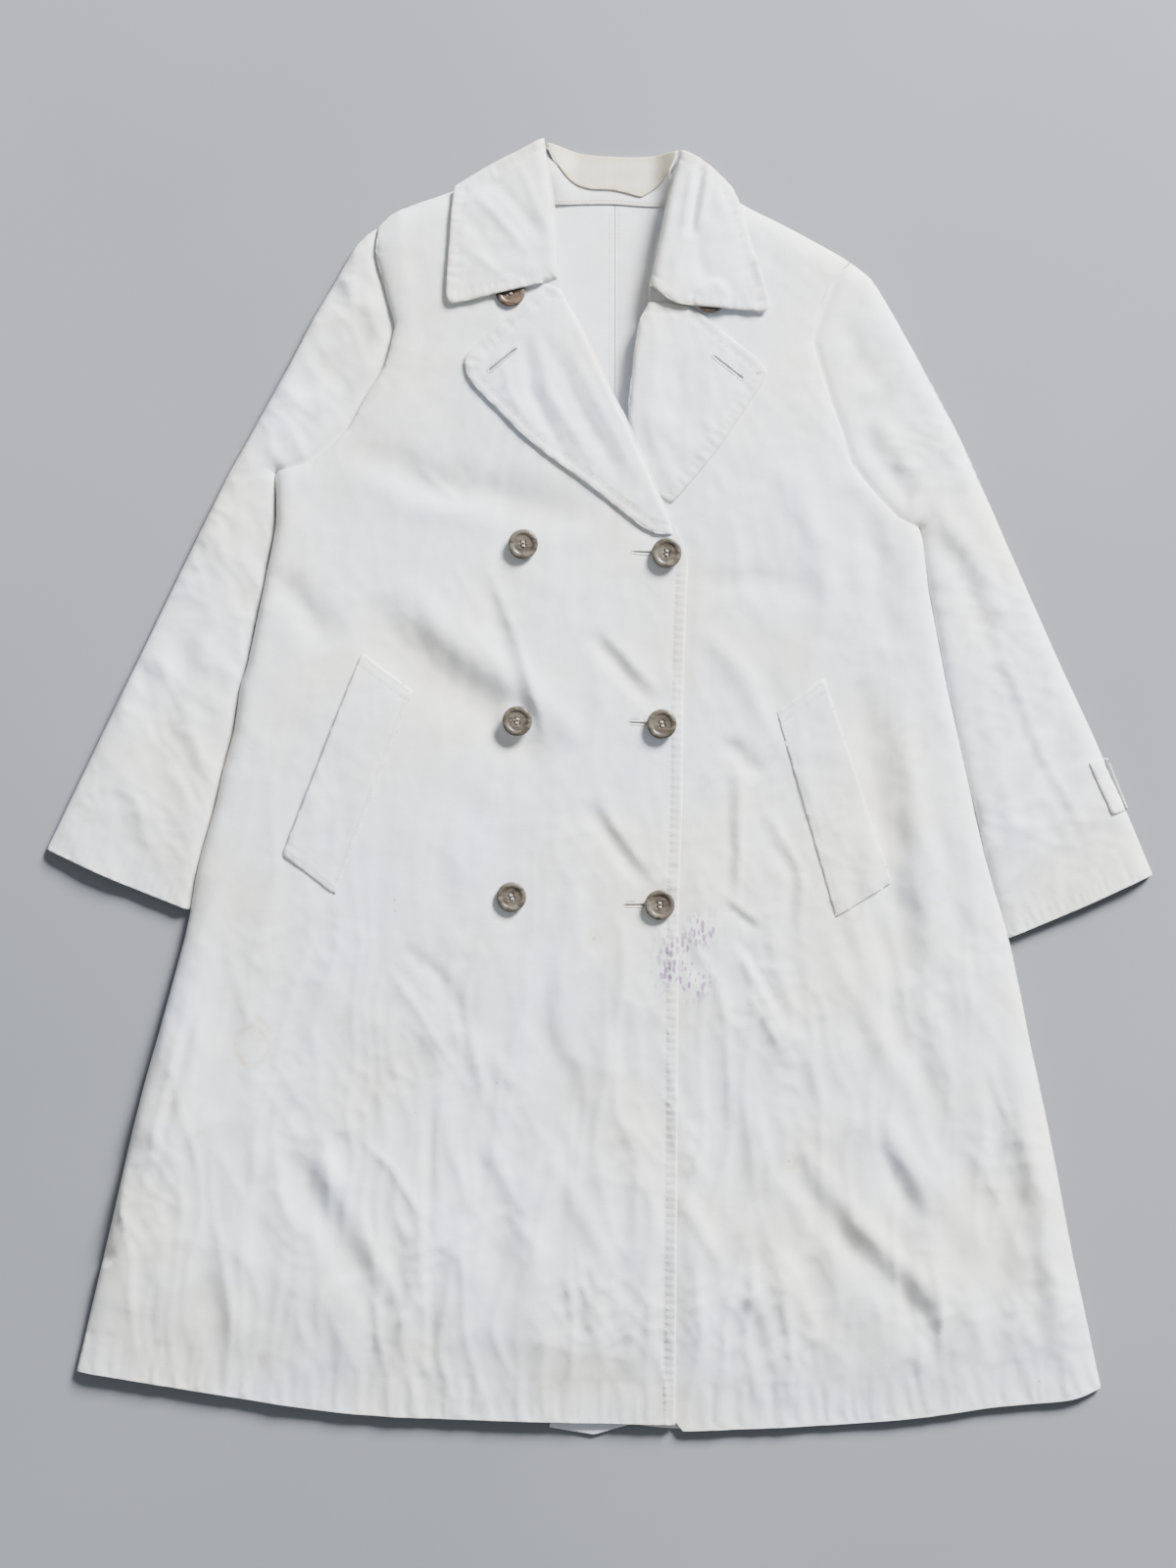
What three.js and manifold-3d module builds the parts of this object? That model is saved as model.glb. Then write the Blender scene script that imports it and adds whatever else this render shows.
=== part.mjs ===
// A double-breasted cotton duster coat, laid flat on its back and buttoned.
// Millimetres, +Z up. The hem points to -Y, the collar to +Y, and the wearer's
// right side is at -X. The origin is under the middle of the coat, on the
// surface that it lies on.
//
// Each cut piece of cloth is its own closed solid. The pieces are stacked in
// layers: back, hollow body with the pocket bags in it, left (under) front,
// right (upper) front, then lapels, welts, buttons and collar.

import * as THREE from 'three';
import { mergeVertices } from 'three/addons/utils/BufferGeometryUtils.js';
import Module from 'manifold-3d';

// ---------------------------------------------------------------- dimensions
const PLY = 1.2;             // one layer of cloth with its interlining
const THIN = 0.8;            // one ply of a collar leaf or a lapel
const GAP = 0.3;             // clearance between faces that touch
const BACK_Z = 0;            // underside of the back
const INNER_Z = 1.5;         // hem, vent and facings that lie on the back
const LEFT_FRONT_Z = 12.5;   // underside of the left (under) front
const LEFT_FACING_Z = 11.0;
const RIGHT_FRONT_Z = 15.5;  // underside of the right (upper) front
const RIGHT_FACING_Z = 14.0;
const SLEEVE_TOP_Z = 10.5;   // underside of the top sleeve
const SLEEVE_WALL = 2.4;     // width of the folded sleeve edges
const SEAM_WALL = 3.0;       // width of the side and shoulder seams
const RIGHT_LAPEL_Z = 18.0;  // middle of the right lapel, where it turns
const LEFT_LAPEL_Z = 15.0;
const COLLAR_Z = 22.45;      // middle of a collar leaf, where it turns
const BUTTON_R = 12.5;       // 25 mm coat buttons
const BUTTON_T = 3.4;
const BUTTON_Z = 19.2;       // underside of a front button
const SHANK_R = 1.6;         // wrapped thread shank
const SLOT_H = 4.2;          // height of an open buttonhole
const WELT_T = 1.2;
const WELT_MOUTH = 4.6;      // free height under a welt
const RIGHT_BAG_Z = 8.0;
const LEFT_BAG_Z = 7.0;
const BAG_WALL = 2.0;

// ------------------------------------------------------------------ outlines
// Plan outlines, x then y.
const rightSide = [[-428.8, -477.2], [-414.4, -416.4], [-400, -355.6], [-377.6, -259.6], [-360, -195.6],
  [-340, -122], [-335.2, -99.6], [-329.6, -68.4], [-321.6, -38], [-314.4, -13.2],
  [-308, 15.6], [-299.2, 47.6], [-293.6, 84.4], [-288, 102], [-275.2, 162.8],
  [-264.8, 216.4], [-264.8, 259.6]];
const rightArmhole = [[-264.8, 259.6], [-236.8, 267.6], [-206.4, 294], [-191.2, 321.2], [-176, 345.2],
  [-168, 374], [-167.2, 379.6], [-174.4, 407.6], [-182.4, 434.8], [-180.8, 461.2]];
const rightShoulder = [[-180.8, 461.2], [-165.6, 473.2], [-135.2, 484.4], [-89.6, 500.4], [-44.8, 522.8]];
const leftSide = [[411.2, -491.6], [399.2, -435.6], [387.2, -379.6], [370.4, -291.6], [352, -203.6],
  [335.2, -122.8], [314.4, -51.6], [298.4, 20.4], [284, 84.4], [276, 127.6], [269.6, 160.4],
  [264.8, 201.2], [261.6, 214]];
const leftArmhole = [[261.6, 214], [243.2, 222.8], [219.2, 248.4], [204.8, 267.6], [198.4, 290], [185.6, 326.8],
  [174.4, 365.2], [182.4, 393.2], [192, 415.6], [204.8, 432.4]];
const leftShoulder = [[204.8, 432.4], [189.6, 441.2], [151.2, 462], [113.6, 481.2], [66.4, 519.6]];

// --------------------------------------------------------------- small tools
const wasm = await Module();
wasm.setup();

function shapeOf(points) {
  const s = new THREE.Shape();
  points.forEach(([x, y], i) => (i ? s.lineTo(x, y) : s.moveTo(x, y)));
  s.closePath();
  return s;
}

// A flat plate between two heights.
function plate(points, z0, z1, holes = []) {
  const s = shapeOf(points);
  for (const h of holes) s.holes.push(shapeOf(h));
  const g = new THREE.ExtrudeGeometry(s, { depth: z1 - z0, bevelEnabled: false, steps: 1 });
  g.translate(0, 0, z0);
  return g;
}

// A line moved sideways: positive goes to the left of its direction.
function offset(points, d) {
  return points.map((p, i) => {
    const a = points[Math.max(0, i - 1)];
    const b = points[Math.min(points.length - 1, i + 1)];
    const l = Math.hypot(b[0] - a[0], b[1] - a[1]);
    return [p[0] - ((b[1] - a[1]) / l) * d, p[1] + ((b[0] - a[0]) / l) * d];
  });
}

// A band of constant width along a line.
function band(points, d, z0, z1) {
  return plate([...points, ...offset(points, d).reverse()], z0, z1);
}

function solid(geometry) {
  const g = geometry.clone();
  g.deleteAttribute('normal');
  g.deleteAttribute('uv');
  const m = mergeVertices(g, 1e-4);
  return new wasm.Manifold(new wasm.Mesh({
    numProp: 3,
    vertProperties: new Float32Array(m.attributes.position.array),
    triVerts: new Uint32Array(m.index.array),
  }));
}

function geometryOf(manifold) {
  const mesh = manifold.getMesh();
  const g = new THREE.BufferGeometry();
  const p = [];
  for (let i = 0; i < mesh.vertProperties.length; i += mesh.numProp) {
    p.push(mesh.vertProperties[i], mesh.vertProperties[i + 1], mesh.vertProperties[i + 2]);
  }
  g.setAttribute('position', new THREE.Float32BufferAttribute(p, 3));
  g.setIndex(new THREE.BufferAttribute(new Uint32Array(mesh.triVerts), 1));
  g.computeVertexNormals();
  return g;
}

function cut(base, ...tools) {
  let s = solid(base);
  for (const t of tools) s = s.subtract(solid(t));
  return geometryOf(s);
}

// A point inside a four-sided figure: s across, t along.
function inside([a, b, c, d], s, t) {
  return [0, 1].map((k) => (a[k] * (1 - s) + b[k] * s) * (1 - t) + (d[k] * (1 - s) + c[k] * s) * t);
}
function patch(q, s0, s1, t0, t1) {
  return [inside(q, s0, t0), inside(q, s1, t0), inside(q, s1, t1), inside(q, s0, t1)];
}

function slotAt([x0, y], x1) {
  const h = SLOT_H / 2;
  return [[x0, y - h * 0.5], [x0 + h * 0.6, y - h], [x1 - h * 0.6, y - h], [x1, y - h * 0.5],
    [x1, y + h * 0.5], [x1 - h * 0.6, y + h], [x0 + h * 0.6, y + h], [x0, y + h * 0.5]];
}

// ----------------------------------------------------------------- materials
const cloth = { color: 0xdcdad4, roughness: 0.86, metalness: 0 };
const inner = { color: 0xe0dfdc, roughness: 0.9, metalness: 0 };
const cream = { color: 0xd8d2c2, roughness: 0.88, metalness: 0 };
const horn = { color: 0x6f675c, roughness: 0.32, metalness: 0 };
const darkHorn = { color: 0x43352b, roughness: 0.35, metalness: 0 };
const yarn = { color: 0xcfc7b6, roughness: 0.8, metalness: 0 };

const coat = new THREE.Group();

function add(name, geometry, material, at = [0, 0, 0]) {
  const mesh = new THREE.Mesh(geometry, new THREE.MeshStandardMaterial(material));
  mesh.name = name;
  mesh.position.set(...at);
  coat.add(mesh);
  return mesh;
}

// ---------------------------------------------------------------------- back
const rightHem = [[-428.8, -477.2], [-332, -493.2], [-234.4, -508.4], [-175.2, -514], [-116, -516.4],
  [-41.6, -518.8], [10.4, -519.6]];
const leftHem = [[12, -519.6], [68, -525.2], [165.6, -522], [254.4, -515.6], [325.6, -506], [384.8, -500.4],
  [411.2, -491.6]];
const neckRight = [[-44.8, 522.8], [-37.6, 510.8], [-25.6, 497.2], [-9.6, 490.8], [10.4, 489.2]];
const neckLeft = [[12, 489.2], [34.4, 483.6], [51.2, 494], [60.8, 508.4], [66.4, 519.6]];

add('back_right_panel', plate([
  ...rightHem, ...[...neckRight].reverse(), ...[...rightShoulder].reverse().slice(1),
  ...[...rightArmhole].reverse().slice(1), ...[...rightSide].reverse().slice(1, -1),
], BACK_Z, BACK_Z + PLY), cloth);
add('back_left_panel', plate([
  ...leftHem, ...leftSide.slice(1), ...leftArmhole.slice(1), ...leftShoulder.slice(1),
  ...[...neckLeft].reverse().slice(1),
], BACK_Z, BACK_Z + PLY), cloth);
add('back_vent_underlap', plate(
  [[-9.6, -227.6], [41.6, -227.6], [44.8, -517.2], [-4.8, -530.8], [-41.6, -524.4],
  [-32, -507.6]],
  INNER_Z, INNER_Z + PLY), cloth);
add('back_right_hem', plate(
  [[-422.4, -474.8], [-332, -489.2], [-234.4, -504.4], [-175.2, -510], [-116, -512.4],
  [-45.6, -514.8], [-45.6, -485.2], [-116, -482.8], [-175.2, -480.4], [-234.4, -474.8],
  [-332, -459.6], [-416, -446]],
  INNER_Z, INNER_Z + PLY), inner);
add('back_left_hem', plate(
  [[54.4, -519.6], [68, -521.2], [165.6, -518], [254.4, -511.6], [325.6, -502],
  [384.8, -496.4], [403.2, -490], [396.8, -461.2], [378.4, -466.8], [325.6, -473.2],
  [254.4, -482], [165.6, -488.4], [68, -491.6], [54.4, -490.8]],
  INNER_Z, INNER_Z + PLY), inner);
add('back_neck_facing', plate(
  [[-36.8, 506.8], [-25.6, 494.8], [-9.6, 488.4], [12, 486.8], [34.4, 481.2], [51.2, 491.6],
  [59.2, 503.6], [51.2, 474.8], [12, 478], [-31.2, 477.2]],
  INNER_Z, INNER_Z + PLY), cream);

// ---------------------------------------------------- collar round the back
const stand = [[-43.2, 527.6], [-28, 524.4], [-9.6, 520.4], [14.4, 518.8], [40, 518.8], [64, 521.2],
  [59.2, 510.8], [49.6, 496.4], [34.4, 486], [12, 491.6], [-9.6, 493.2], [-24, 499.6],
  [-36, 513.2]];
add('collar_back_fall', plate(stand, BACK_Z, BACK_Z + PLY), cloth);
add('collar_stand', plate(stand, INNER_Z, INNER_Z + PLY), cream);

// -------------------------------------------------------------------- fronts
// The pockets' four corners: free edge top, seam top, seam bottom, free edge
// bottom. The free edge faces the side seam.
const rightWelt = [[-193.6, 110.8], [-152.8, 80.4], [-216, -86], [-258.4, -53.2]];
const leftWelt = [[183.2, 90], [144.8, 62.8], [192.8, -104.4], [238.4, -76.4]];
const rightMouth = patch(rightWelt, 0.52, 0.78, 0.08, 0.92);
const leftMouth = patch(leftWelt, 0.52, 0.78, 0.08, 0.92);

const buttonColumnLeft = [[-62.4, 199.6], [-67.2, 55.6], [-72, -87.6]];   // on the upper front
const buttonColumnRight = [[54.4, 192.4], [50.4, 53.2], [48.8, -94]];  // through the buttonholes
const holeStarts = [[27.2, 192.4], [24.8, 53.2], [20, -94]];
const slots = holeStarts.map((p, i) => slotAt(p, buttonColumnRight[i][0] + 4.8));

// The lower corner of the upper front turns back along this line.
const turnTop = [64, -123.6];
const turnLow = [-169.6, -514];

const rightFrontOutline = [
  ...[[-32.8, 412.4], [-31.2, 410.8], [12, 318], [65.6, 202.8], [72, 186], [69.6, 124.4],
  [68, 66], [67.2, -14], [64.4, -121.6]],
  ...[[-170, -512.8], [-175.2, -514], [-234.4, -508.4], [-332, -493.2]],
  ...rightSide, ...rightArmhole.slice(1), ...rightShoulder.slice(1),
  ...[[-38.4, 490], [-33.6, 441.2]],
];
add('right_front_panel', cut(
  plate(rightFrontOutline, RIGHT_FRONT_Z, RIGHT_FRONT_Z + PLY),
  plate(rightMouth, RIGHT_FRONT_Z - 1, RIGHT_FRONT_Z + PLY + 1),
  ...slots.map((s) => plate(s, RIGHT_FRONT_Z - 1, RIGHT_FRONT_Z + PLY + 1)),
), cloth);
add('right_front_corner', plate(
  [[64, -125.6], [64, -163.6], [62.8, -339.6], [61.6, -521.2], [-41.6, -518.8],
  [-116, -516.4], [-167.6, -514.8]],
  RIGHT_FRONT_Z, RIGHT_FRONT_Z + PLY), cloth);
add('right_front_facing', cut(
  plate([[64.8, 198.8], [71.2, 186], [67.2, 66], [66.4, -14], [63.2, -121.2], [-7.2, -238.8],
  [-7.2, 199.6]],
    RIGHT_FACING_Z, RIGHT_FACING_Z + PLY),
  ...slots.map((s) => plate(s, RIGHT_FACING_Z - 1, RIGHT_FACING_Z + PLY + 1)),
), inner);
add('right_corner_facing', plate(
  [[62.8, -128.4], [63.2, -163.6], [60, -517.2], [-7.2, -514.8], [-7.2, -246]],
  RIGHT_FACING_Z, RIGHT_FACING_Z + PLY), inner);
add('right_front_hem', plate(
  [[-417.6, -475.6], [-332, -489.2], [-234.4, -504.4], [-177.6, -510], [-158.4, -480.4],
  [-234.4, -474.8], [-332, -459.6], [-409.6, -447.6]],
  RIGHT_FACING_Z, RIGHT_FACING_Z + PLY), inner);

const leftFrontOutline = [
  ...[[56, 490], [45.6, 441.2], [40.8, 416.4], [39.2, 395.6], [32, 380.4], [28, 354.8],
  [23.2, 302.8], [10.4, 260.4], [-17.6, 212.4], [-65.6, 186.8], [-71.2, 164.4],
  [-71.2, -155.6], [-71.2, -514.8], [62.4, -518], [68, -526.8], [165.6, -522.8],
  [254.4, -516.4], [325.6, -506.8], [384.8, -501.2]],
  ...leftSide, ...leftArmhole.slice(1), ...leftShoulder.slice(1),
];
add('left_front_panel', cut(
  plate(leftFrontOutline, LEFT_FRONT_Z, LEFT_FRONT_Z + PLY),
  plate(leftMouth, LEFT_FRONT_Z - 1, LEFT_FRONT_Z + PLY + 1),
), cloth);
add('left_front_facing', plate(
  [[-64, 184.4], [-4.8, 208.4], [24, 208.4], [24, -512.4], [-68.8, -510.8], [-68.8, 164.4]],
  LEFT_FACING_Z, LEFT_FACING_Z + PLY), inner);
add('left_front_hem', plate(
  [[30.4, -513.2], [68, -521.2], [165.6, -518], [254.4, -511.6], [325.6, -502],
  [384.8, -496.4], [401.6, -490], [395.2, -461.2], [378.4, -466.8], [325.6, -473.2],
  [254.4, -482], [165.6, -488.4], [68, -491.6], [30.4, -483.6]],
  LEFT_FACING_Z, LEFT_FACING_Z + PLY), inner);

// ---------------------------------------------------- side, shoulder seams
add('right_side_seam', band(rightSide, -SEAM_WALL, INNER_Z, RIGHT_FRONT_Z - GAP), cloth);
add('left_side_seam', band(leftSide, SEAM_WALL, INNER_Z, LEFT_FRONT_Z - GAP), cloth);
add('right_shoulder_seam', band(rightShoulder.slice(0, 4), -SEAM_WALL, INNER_Z, RIGHT_FRONT_Z - GAP), cloth);
add('left_shoulder_seam', band(leftShoulder.slice(0, 4), SEAM_WALL, INNER_Z, LEFT_FRONT_Z - GAP), cloth);

// ------------------------------------------------------------------- sleeves
// The part of each sleeve next to the armhole stays with the body. The rest
// folds over along a line from the underarm to the outer edge.
const rightHeadOuter = [[-256, 345.2], [-236.8, 382], [-217.6, 414.8], [-201.6, 442], [-192.8, 452.4],
  [-183.2, 459.6]];
add('right_sleeve_head', cut(
  plate([...rightHeadOuter, ...[[-184, 434.8], [-176, 407.6], [-169.2, 379.6], [-170, 374], [-178, 346], [-193.2, 322],
  [-208, 295.6], [-237.6, 269.2], [-262.8, 262]]],
    BACK_Z, SLEEVE_TOP_Z + PLY),
  plate([...offset([[-260.8, 340.4], [-256, 345.2], [-236.8, 382], [-217.6, 414.8], [-201.6, 442],
  [-192.8, 452.4], [-177.6, 463.6]], -SLEEVE_WALL),
    ...[[-166.4, 434.8], [-161.6, 379.6], [-169.6, 340.4], [-189.6, 308.4], [-208, 282.8],
  [-237.6, 252.4], [-269.6, 244.4]]],
    BACK_Z + PLY, SLEEVE_TOP_Z),
), cloth);
const leftHeadOuter = [[246, 378.4], [230.4, 406], [221.6, 418.8], [206.4, 430]];
add('left_sleeve_head', cut(
  plate([...leftHeadOuter, ...[[193.6, 414], [184, 392.4], [176.4, 365.2], [187.6, 327.6], [200.4, 290.8], [206.8, 268.4],
  [220.8, 249.2], [244.4, 224.4], [259.2, 218]]],
    BACK_Z, SLEEVE_TOP_Z + PLY),
  plate([...offset([[250.4, 370.8], [246, 378.4], [230.4, 406], [221.6, 418.8], [200, 436.4]], SLEEVE_WALL),
    ...[[179.2, 414], [168, 365.2], [187.2, 308.4], [200, 260.4], [220.8, 236.4], [244, 208.4],
  [267.2, 206]]],
    BACK_Z + PLY, SLEEVE_TOP_Z),
), cloth);

const rightSleeveOuter = [[-258, 342], [-285.6, 291.6], [-313.6, 239.6], [-384, 94.8], [-453.6, -49.2]];
const rightSleeveInner = [[-338, -98.8], [-332.4, -68.4], [-324.4, -38], [-317.2, -13.2], [-310.8, 15.6],
  [-302, 47.6], [-296.4, 84.4], [-290.8, 102.8], [-278, 163.6], [-268, 217.2], [-267.2, 258.8]];
const rightSleevePlan = [...rightSleeveOuter, ...[[-401.6, -73.2]], ...rightSleeveInner];
const rightSleeveHollow = [
  ...offset([[-249.6, 357.2], [-258, 342], [-285.6, 291.6], [-313.6, 239.6], [-384, 94.8],
  [-453.6, -49.2], [-468, -78]], SLEEVE_WALL),
  ...[[-401.6, -103.6], [-348.8, -125.2]],
  ...offset(rightSleeveInner, SLEEVE_WALL), ...[[-260, 268.4]],
];
add('right_under_sleeve', plate(rightSleevePlan, BACK_Z, BACK_Z + PLY), cloth);
add('right_top_sleeve', cut(
  plate(rightSleevePlan, INNER_Z, SLEEVE_TOP_Z + PLY),
  plate(rightSleeveHollow, INNER_Z - 1, SLEEVE_TOP_Z),
), cloth);
const leftSleeveOuter = [[248.4, 374.8], [293.6, 290.8], [334.4, 199.6], [374.4, 109.2], [400.8, 52.4],
  [412.8, 25.2], [434.4, -24.4], [453.6, -70]];
const leftSleeveInner = [[337.6, -121.2], [326.8, -83.6], [317.2, -50.8], [301.2, 21.2], [286.8, 85.2],
  [278.8, 128.4], [272.4, 160.4], [267.6, 201.2], [264, 211.6]];
const leftSleevePlan = [...leftSleeveOuter, ...[[398.4, -95.6]], ...leftSleeveInner];
const leftSleeveHollow = [
  ...offset([[240, 390], [248.4, 374.8], [293.6, 290.8], [334.4, 199.6], [374.4, 109.2], [400.8, 52.4],
  [412.8, 25.2], [434.4, -24.4], [453.6, -70], [465.6, -99.6]], -SLEEVE_WALL),
  ...[[398.4, -131.6], [342.4, -146]],
  ...offset(leftSleeveInner, -SLEEVE_WALL), ...[[258.4, 224.4]],
];
add('left_under_sleeve', plate(leftSleevePlan, BACK_Z, BACK_Z + PLY), cloth);
add('left_top_sleeve', cut(
  plate(leftSleevePlan, INNER_Z, SLEEVE_TOP_Z + PLY),
  plate(leftSleeveHollow, INNER_Z - 1, SLEEVE_TOP_Z),
), cloth);
add('left_cuff_tab', plate(
  [[400, 21.2], [416, 26], [432.8, -16.4], [419.2, -21.2]],
  SLEEVE_TOP_Z + PLY + GAP, SLEEVE_TOP_Z + 2 * PLY + GAP), cloth);

// ------------------------------------------------------------------- pockets
function welt(q, z) {
  return cut(
    plate(q, z, z + WELT_MOUTH + WELT_T),
    plate(patch(q, -0.2, 0.86, 0.05, 0.95), z - 1, z + WELT_MOUTH),
  );
}
function bag(outline, z0, z1, way) {
  const loop = [...outline, outline[0], outline[1]];
  const innerLine = offset(loop, way * BAG_WALL).slice(1, -1);
  return cut(plate(outline, z0, z1), plate(innerLine, z0 + 0.8, z1 + 1));
}
add('right_pocket_welt', welt(rightWelt, RIGHT_FRONT_Z + PLY + GAP), cloth);
add('left_pocket_welt', welt(leftWelt, LEFT_FRONT_Z + PLY + GAP), cloth);
add('right_pocket_bag', bag(
  [[-173.6, 103.6], [-112, 84.4], [-97.6, -43.6], [-113.6, -119.6], [-157.6, -143.6],
  [-205.6, -125.2], [-243.2, -79.6], [-235.2, -43.6]],
  RIGHT_BAG_Z, RIGHT_FRONT_Z - GAP, -1), inner);
add('left_pocket_bag', bag(
  [[164, 86], [104, 66.8], [91.2, -59.6], [108.8, -135.6], [150.4, -158], [196.8, -143.6],
  [222.4, -91.6], [214.4, -51.6]],
  LEFT_BAG_Z, LEFT_FRONT_Z - GAP, 1), inner);

// -------------------------------------------------------------------- lapels
const half = GAP / 2;
const rightLapelPlan = [[-30.2, 406.8], [62.4, 207.6], [46.4, 205.2], [18.4, 227.6], [-8.8, 247.6], [-52, 279.6],
  [-81.6, 308.4], [-105.6, 333.2], [-110.4, 343.6], [-110.4, 348.4], [-107.2, 354.8],
  [-96.8, 366], [-64.8, 392.4]];
add('right_lapel_shell', plate(rightLapelPlan, RIGHT_LAPEL_Z - half - THIN, RIGHT_LAPEL_Z - half), cloth);
add('right_lapel_facing', plate(rightLapelPlan, RIGHT_LAPEL_Z + half, RIGHT_LAPEL_Z + half + THIN), cloth);
const leftLapelPlan = [[40, 394], [57.2, 239.6], [65.6, 242], [97.6, 279.6], [118.4, 310], [133.6, 333.2],
  [136.8, 340.4], [129.6, 350], [108, 367.6], [80, 390], [59.2, 396.4]];
add('left_lapel_shell', plate(leftLapelPlan, LEFT_LAPEL_Z - half - THIN, LEFT_LAPEL_Z - half), cloth);
add('left_lapel_facing', plate(leftLapelPlan, LEFT_LAPEL_Z + half, LEFT_LAPEL_Z + half + THIN), cloth);

// ------------------------------------------------------------- collar leaves
const rightLeafPlan = [[-45.6, 530.8], [-32.8, 416], [-44.8, 414], [-65.6, 408.4], [-89.6, 402], [-120.8, 394.8],
  [-124, 397.2], [-125.6, 404.4], [-122.4, 448.4], [-118.4, 491.6]];
add('right_under_collar', plate(rightLeafPlan, COLLAR_Z - half - THIN, COLLAR_Z - half), cloth);
add('right_upper_collar', plate(rightLeafPlan, COLLAR_Z + half, COLLAR_Z + half + THIN), cloth);
const leftLeafPlan = [[66, 521.2], [41.2, 411.6], [60, 398], [98.4, 393.2], [135.2, 390], [138.4, 395.6],
  [126.4, 439.6], [113.6, 481.2], [108, 491.6], [82.4, 513.2]];
add('left_under_collar', plate(leftLeafPlan, COLLAR_Z - half - THIN, COLLAR_Z - half), cloth);
add('left_upper_collar', plate(leftLeafPlan, COLLAR_Z + half, COLLAR_Z + half + THIN), cloth);

// ------------------------------------------------------------------- buttons
function button(radius, thickness) {
  const p = [[0, 0], [radius * 0.62, 0], [radius * 0.93, thickness * 0.3], [radius, thickness * 0.62],
    [radius * 0.93, thickness], [radius * 0.78, thickness * 0.9], [radius * 0.68, thickness * 0.66], [0, thickness * 0.62]];
  return new THREE.LatheGeometry(p.map(([x, y]) => new THREE.Vector2(x, y)), 18).rotateX(Math.PI / 2);
}
function shank(z0, z1) {
  return new THREE.CylinderGeometry(SHANK_R, SHANK_R, z1 - z0, 8).rotateX(Math.PI / 2).translate(0, 0, (z0 + z1) / 2);
}
buttonColumnLeft.forEach(([x, y], i) => {
  add(`right_button_${i + 1}`, button(BUTTON_R, BUTTON_T), horn, [x, y, BUTTON_Z]);
  add(`right_button_shank_${i + 1}`, shank(RIGHT_FRONT_Z + PLY + GAP, BUTTON_Z - GAP), yarn, [x, y, 0]);
});
buttonColumnRight.forEach(([x, y], i) => {
  add(`left_button_${i + 1}`, button(BUTTON_R, BUTTON_T), horn, [x, y, BUTTON_Z]);
  add(`left_button_shank_${i + 1}`, shank(LEFT_FRONT_Z + PLY + GAP, BUTTON_Z - GAP), yarn, [x, y, 0]);
});
const rightCollarButton = [-72.8, 405.2];
const leftCollarButton = [90.4, 400.4];
add('right_collar_button', button(12.2, 3.0), darkHorn, [...rightCollarButton, 17.9]);
add('left_collar_button', button(12.2, 3.0), darkHorn, [...leftCollarButton, 14.9]);

// Centre the plan on the origin.
coat.updateMatrixWorld(true);
const box = new THREE.Box3().setFromObject(coat);
coat.position.set(-(box.min.x + box.max.x) / 2, -(box.min.y + box.max.y) / 2, -box.min.z);

export default coat;
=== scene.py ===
"""The looks of a double-breasted cotton duster coat that lies flat on its back.

Every sheet of cloth is a closed mesh with its own relief: folds, crumples,
puckers and stitch lines. Lengths in the tables below are millimetres in the
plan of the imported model; meshes are metres.
"""
import math
import bpy
import numpy as np
from mathutils import Vector, Matrix
from mathutils.geometry import delaunay_2d_cdt


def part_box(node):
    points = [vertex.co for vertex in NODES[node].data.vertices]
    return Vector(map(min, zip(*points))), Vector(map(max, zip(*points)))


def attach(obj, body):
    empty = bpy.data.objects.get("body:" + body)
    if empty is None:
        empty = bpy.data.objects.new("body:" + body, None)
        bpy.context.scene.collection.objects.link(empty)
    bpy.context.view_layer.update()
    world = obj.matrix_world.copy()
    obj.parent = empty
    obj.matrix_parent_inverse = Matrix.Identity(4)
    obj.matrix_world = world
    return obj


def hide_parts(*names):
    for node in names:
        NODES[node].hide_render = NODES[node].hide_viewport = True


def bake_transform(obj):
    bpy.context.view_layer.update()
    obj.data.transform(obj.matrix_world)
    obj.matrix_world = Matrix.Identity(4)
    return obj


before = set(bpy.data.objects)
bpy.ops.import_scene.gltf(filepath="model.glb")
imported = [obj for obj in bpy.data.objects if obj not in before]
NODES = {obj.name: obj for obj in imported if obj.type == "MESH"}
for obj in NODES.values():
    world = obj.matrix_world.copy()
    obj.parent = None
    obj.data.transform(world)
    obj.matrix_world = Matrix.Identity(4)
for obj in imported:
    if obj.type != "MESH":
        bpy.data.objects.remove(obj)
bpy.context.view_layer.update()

COL = bpy.context.scene.collection


def top(node):
    return float(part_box(node)[1][2]) * 1000.0


def low(node):
    return float(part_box(node)[0][2]) * 1000.0


# ------------------------------------------------------------------ looks
FLOOR_A, FLOOR_B = (0.20, 0.205, 0.22), (0.225, 0.23, 0.245)
WORLD, KEY, FILL = 0.36, 2000.0, 6.0

# ------------------------------------------------------------------ outlines
RIGHT_SIDE = [(-428.8, -477.2), (-414.4, -416.4), (-400, -355.6), (-377.6, -259.6), (-360, -195.6), (-340, -122), (-335.2, -99.6), (-329.6, -68.4), (-321.6, -38), (-314.4, -13.2), (-308, 15.6), (-299.2, 47.6), (-293.6, 84.4), (-288, 102), (-275.2, 162.8), (-264.8, 216.4), (-264.8, 259.6)]
RIGHT_ARM = [(-264.8, 259.6), (-236.8, 267.6), (-206.4, 294), (-191.2, 321.2), (-176, 345.2), (-168, 374), (-167.2, 379.6), (-174.4, 407.6), (-182.4, 434.8), (-180.8, 461.2)]
RIGHT_SHOULDER = [(-180.8, 461.2), (-165.6, 473.2), (-135.2, 484.4), (-89.6, 500.4), (-44.8, 522.8)]
LEFT_SIDE = [(411.2, -491.6), (399.2, -435.6), (387.2, -379.6), (370.4, -291.6), (352, -203.6), (335.2, -122.8), (314.4, -51.6), (298.4, 20.4), (284, 84.4), (276, 127.6), (269.6, 160.4), (264.8, 201.2), (261.6, 214)]
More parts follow.
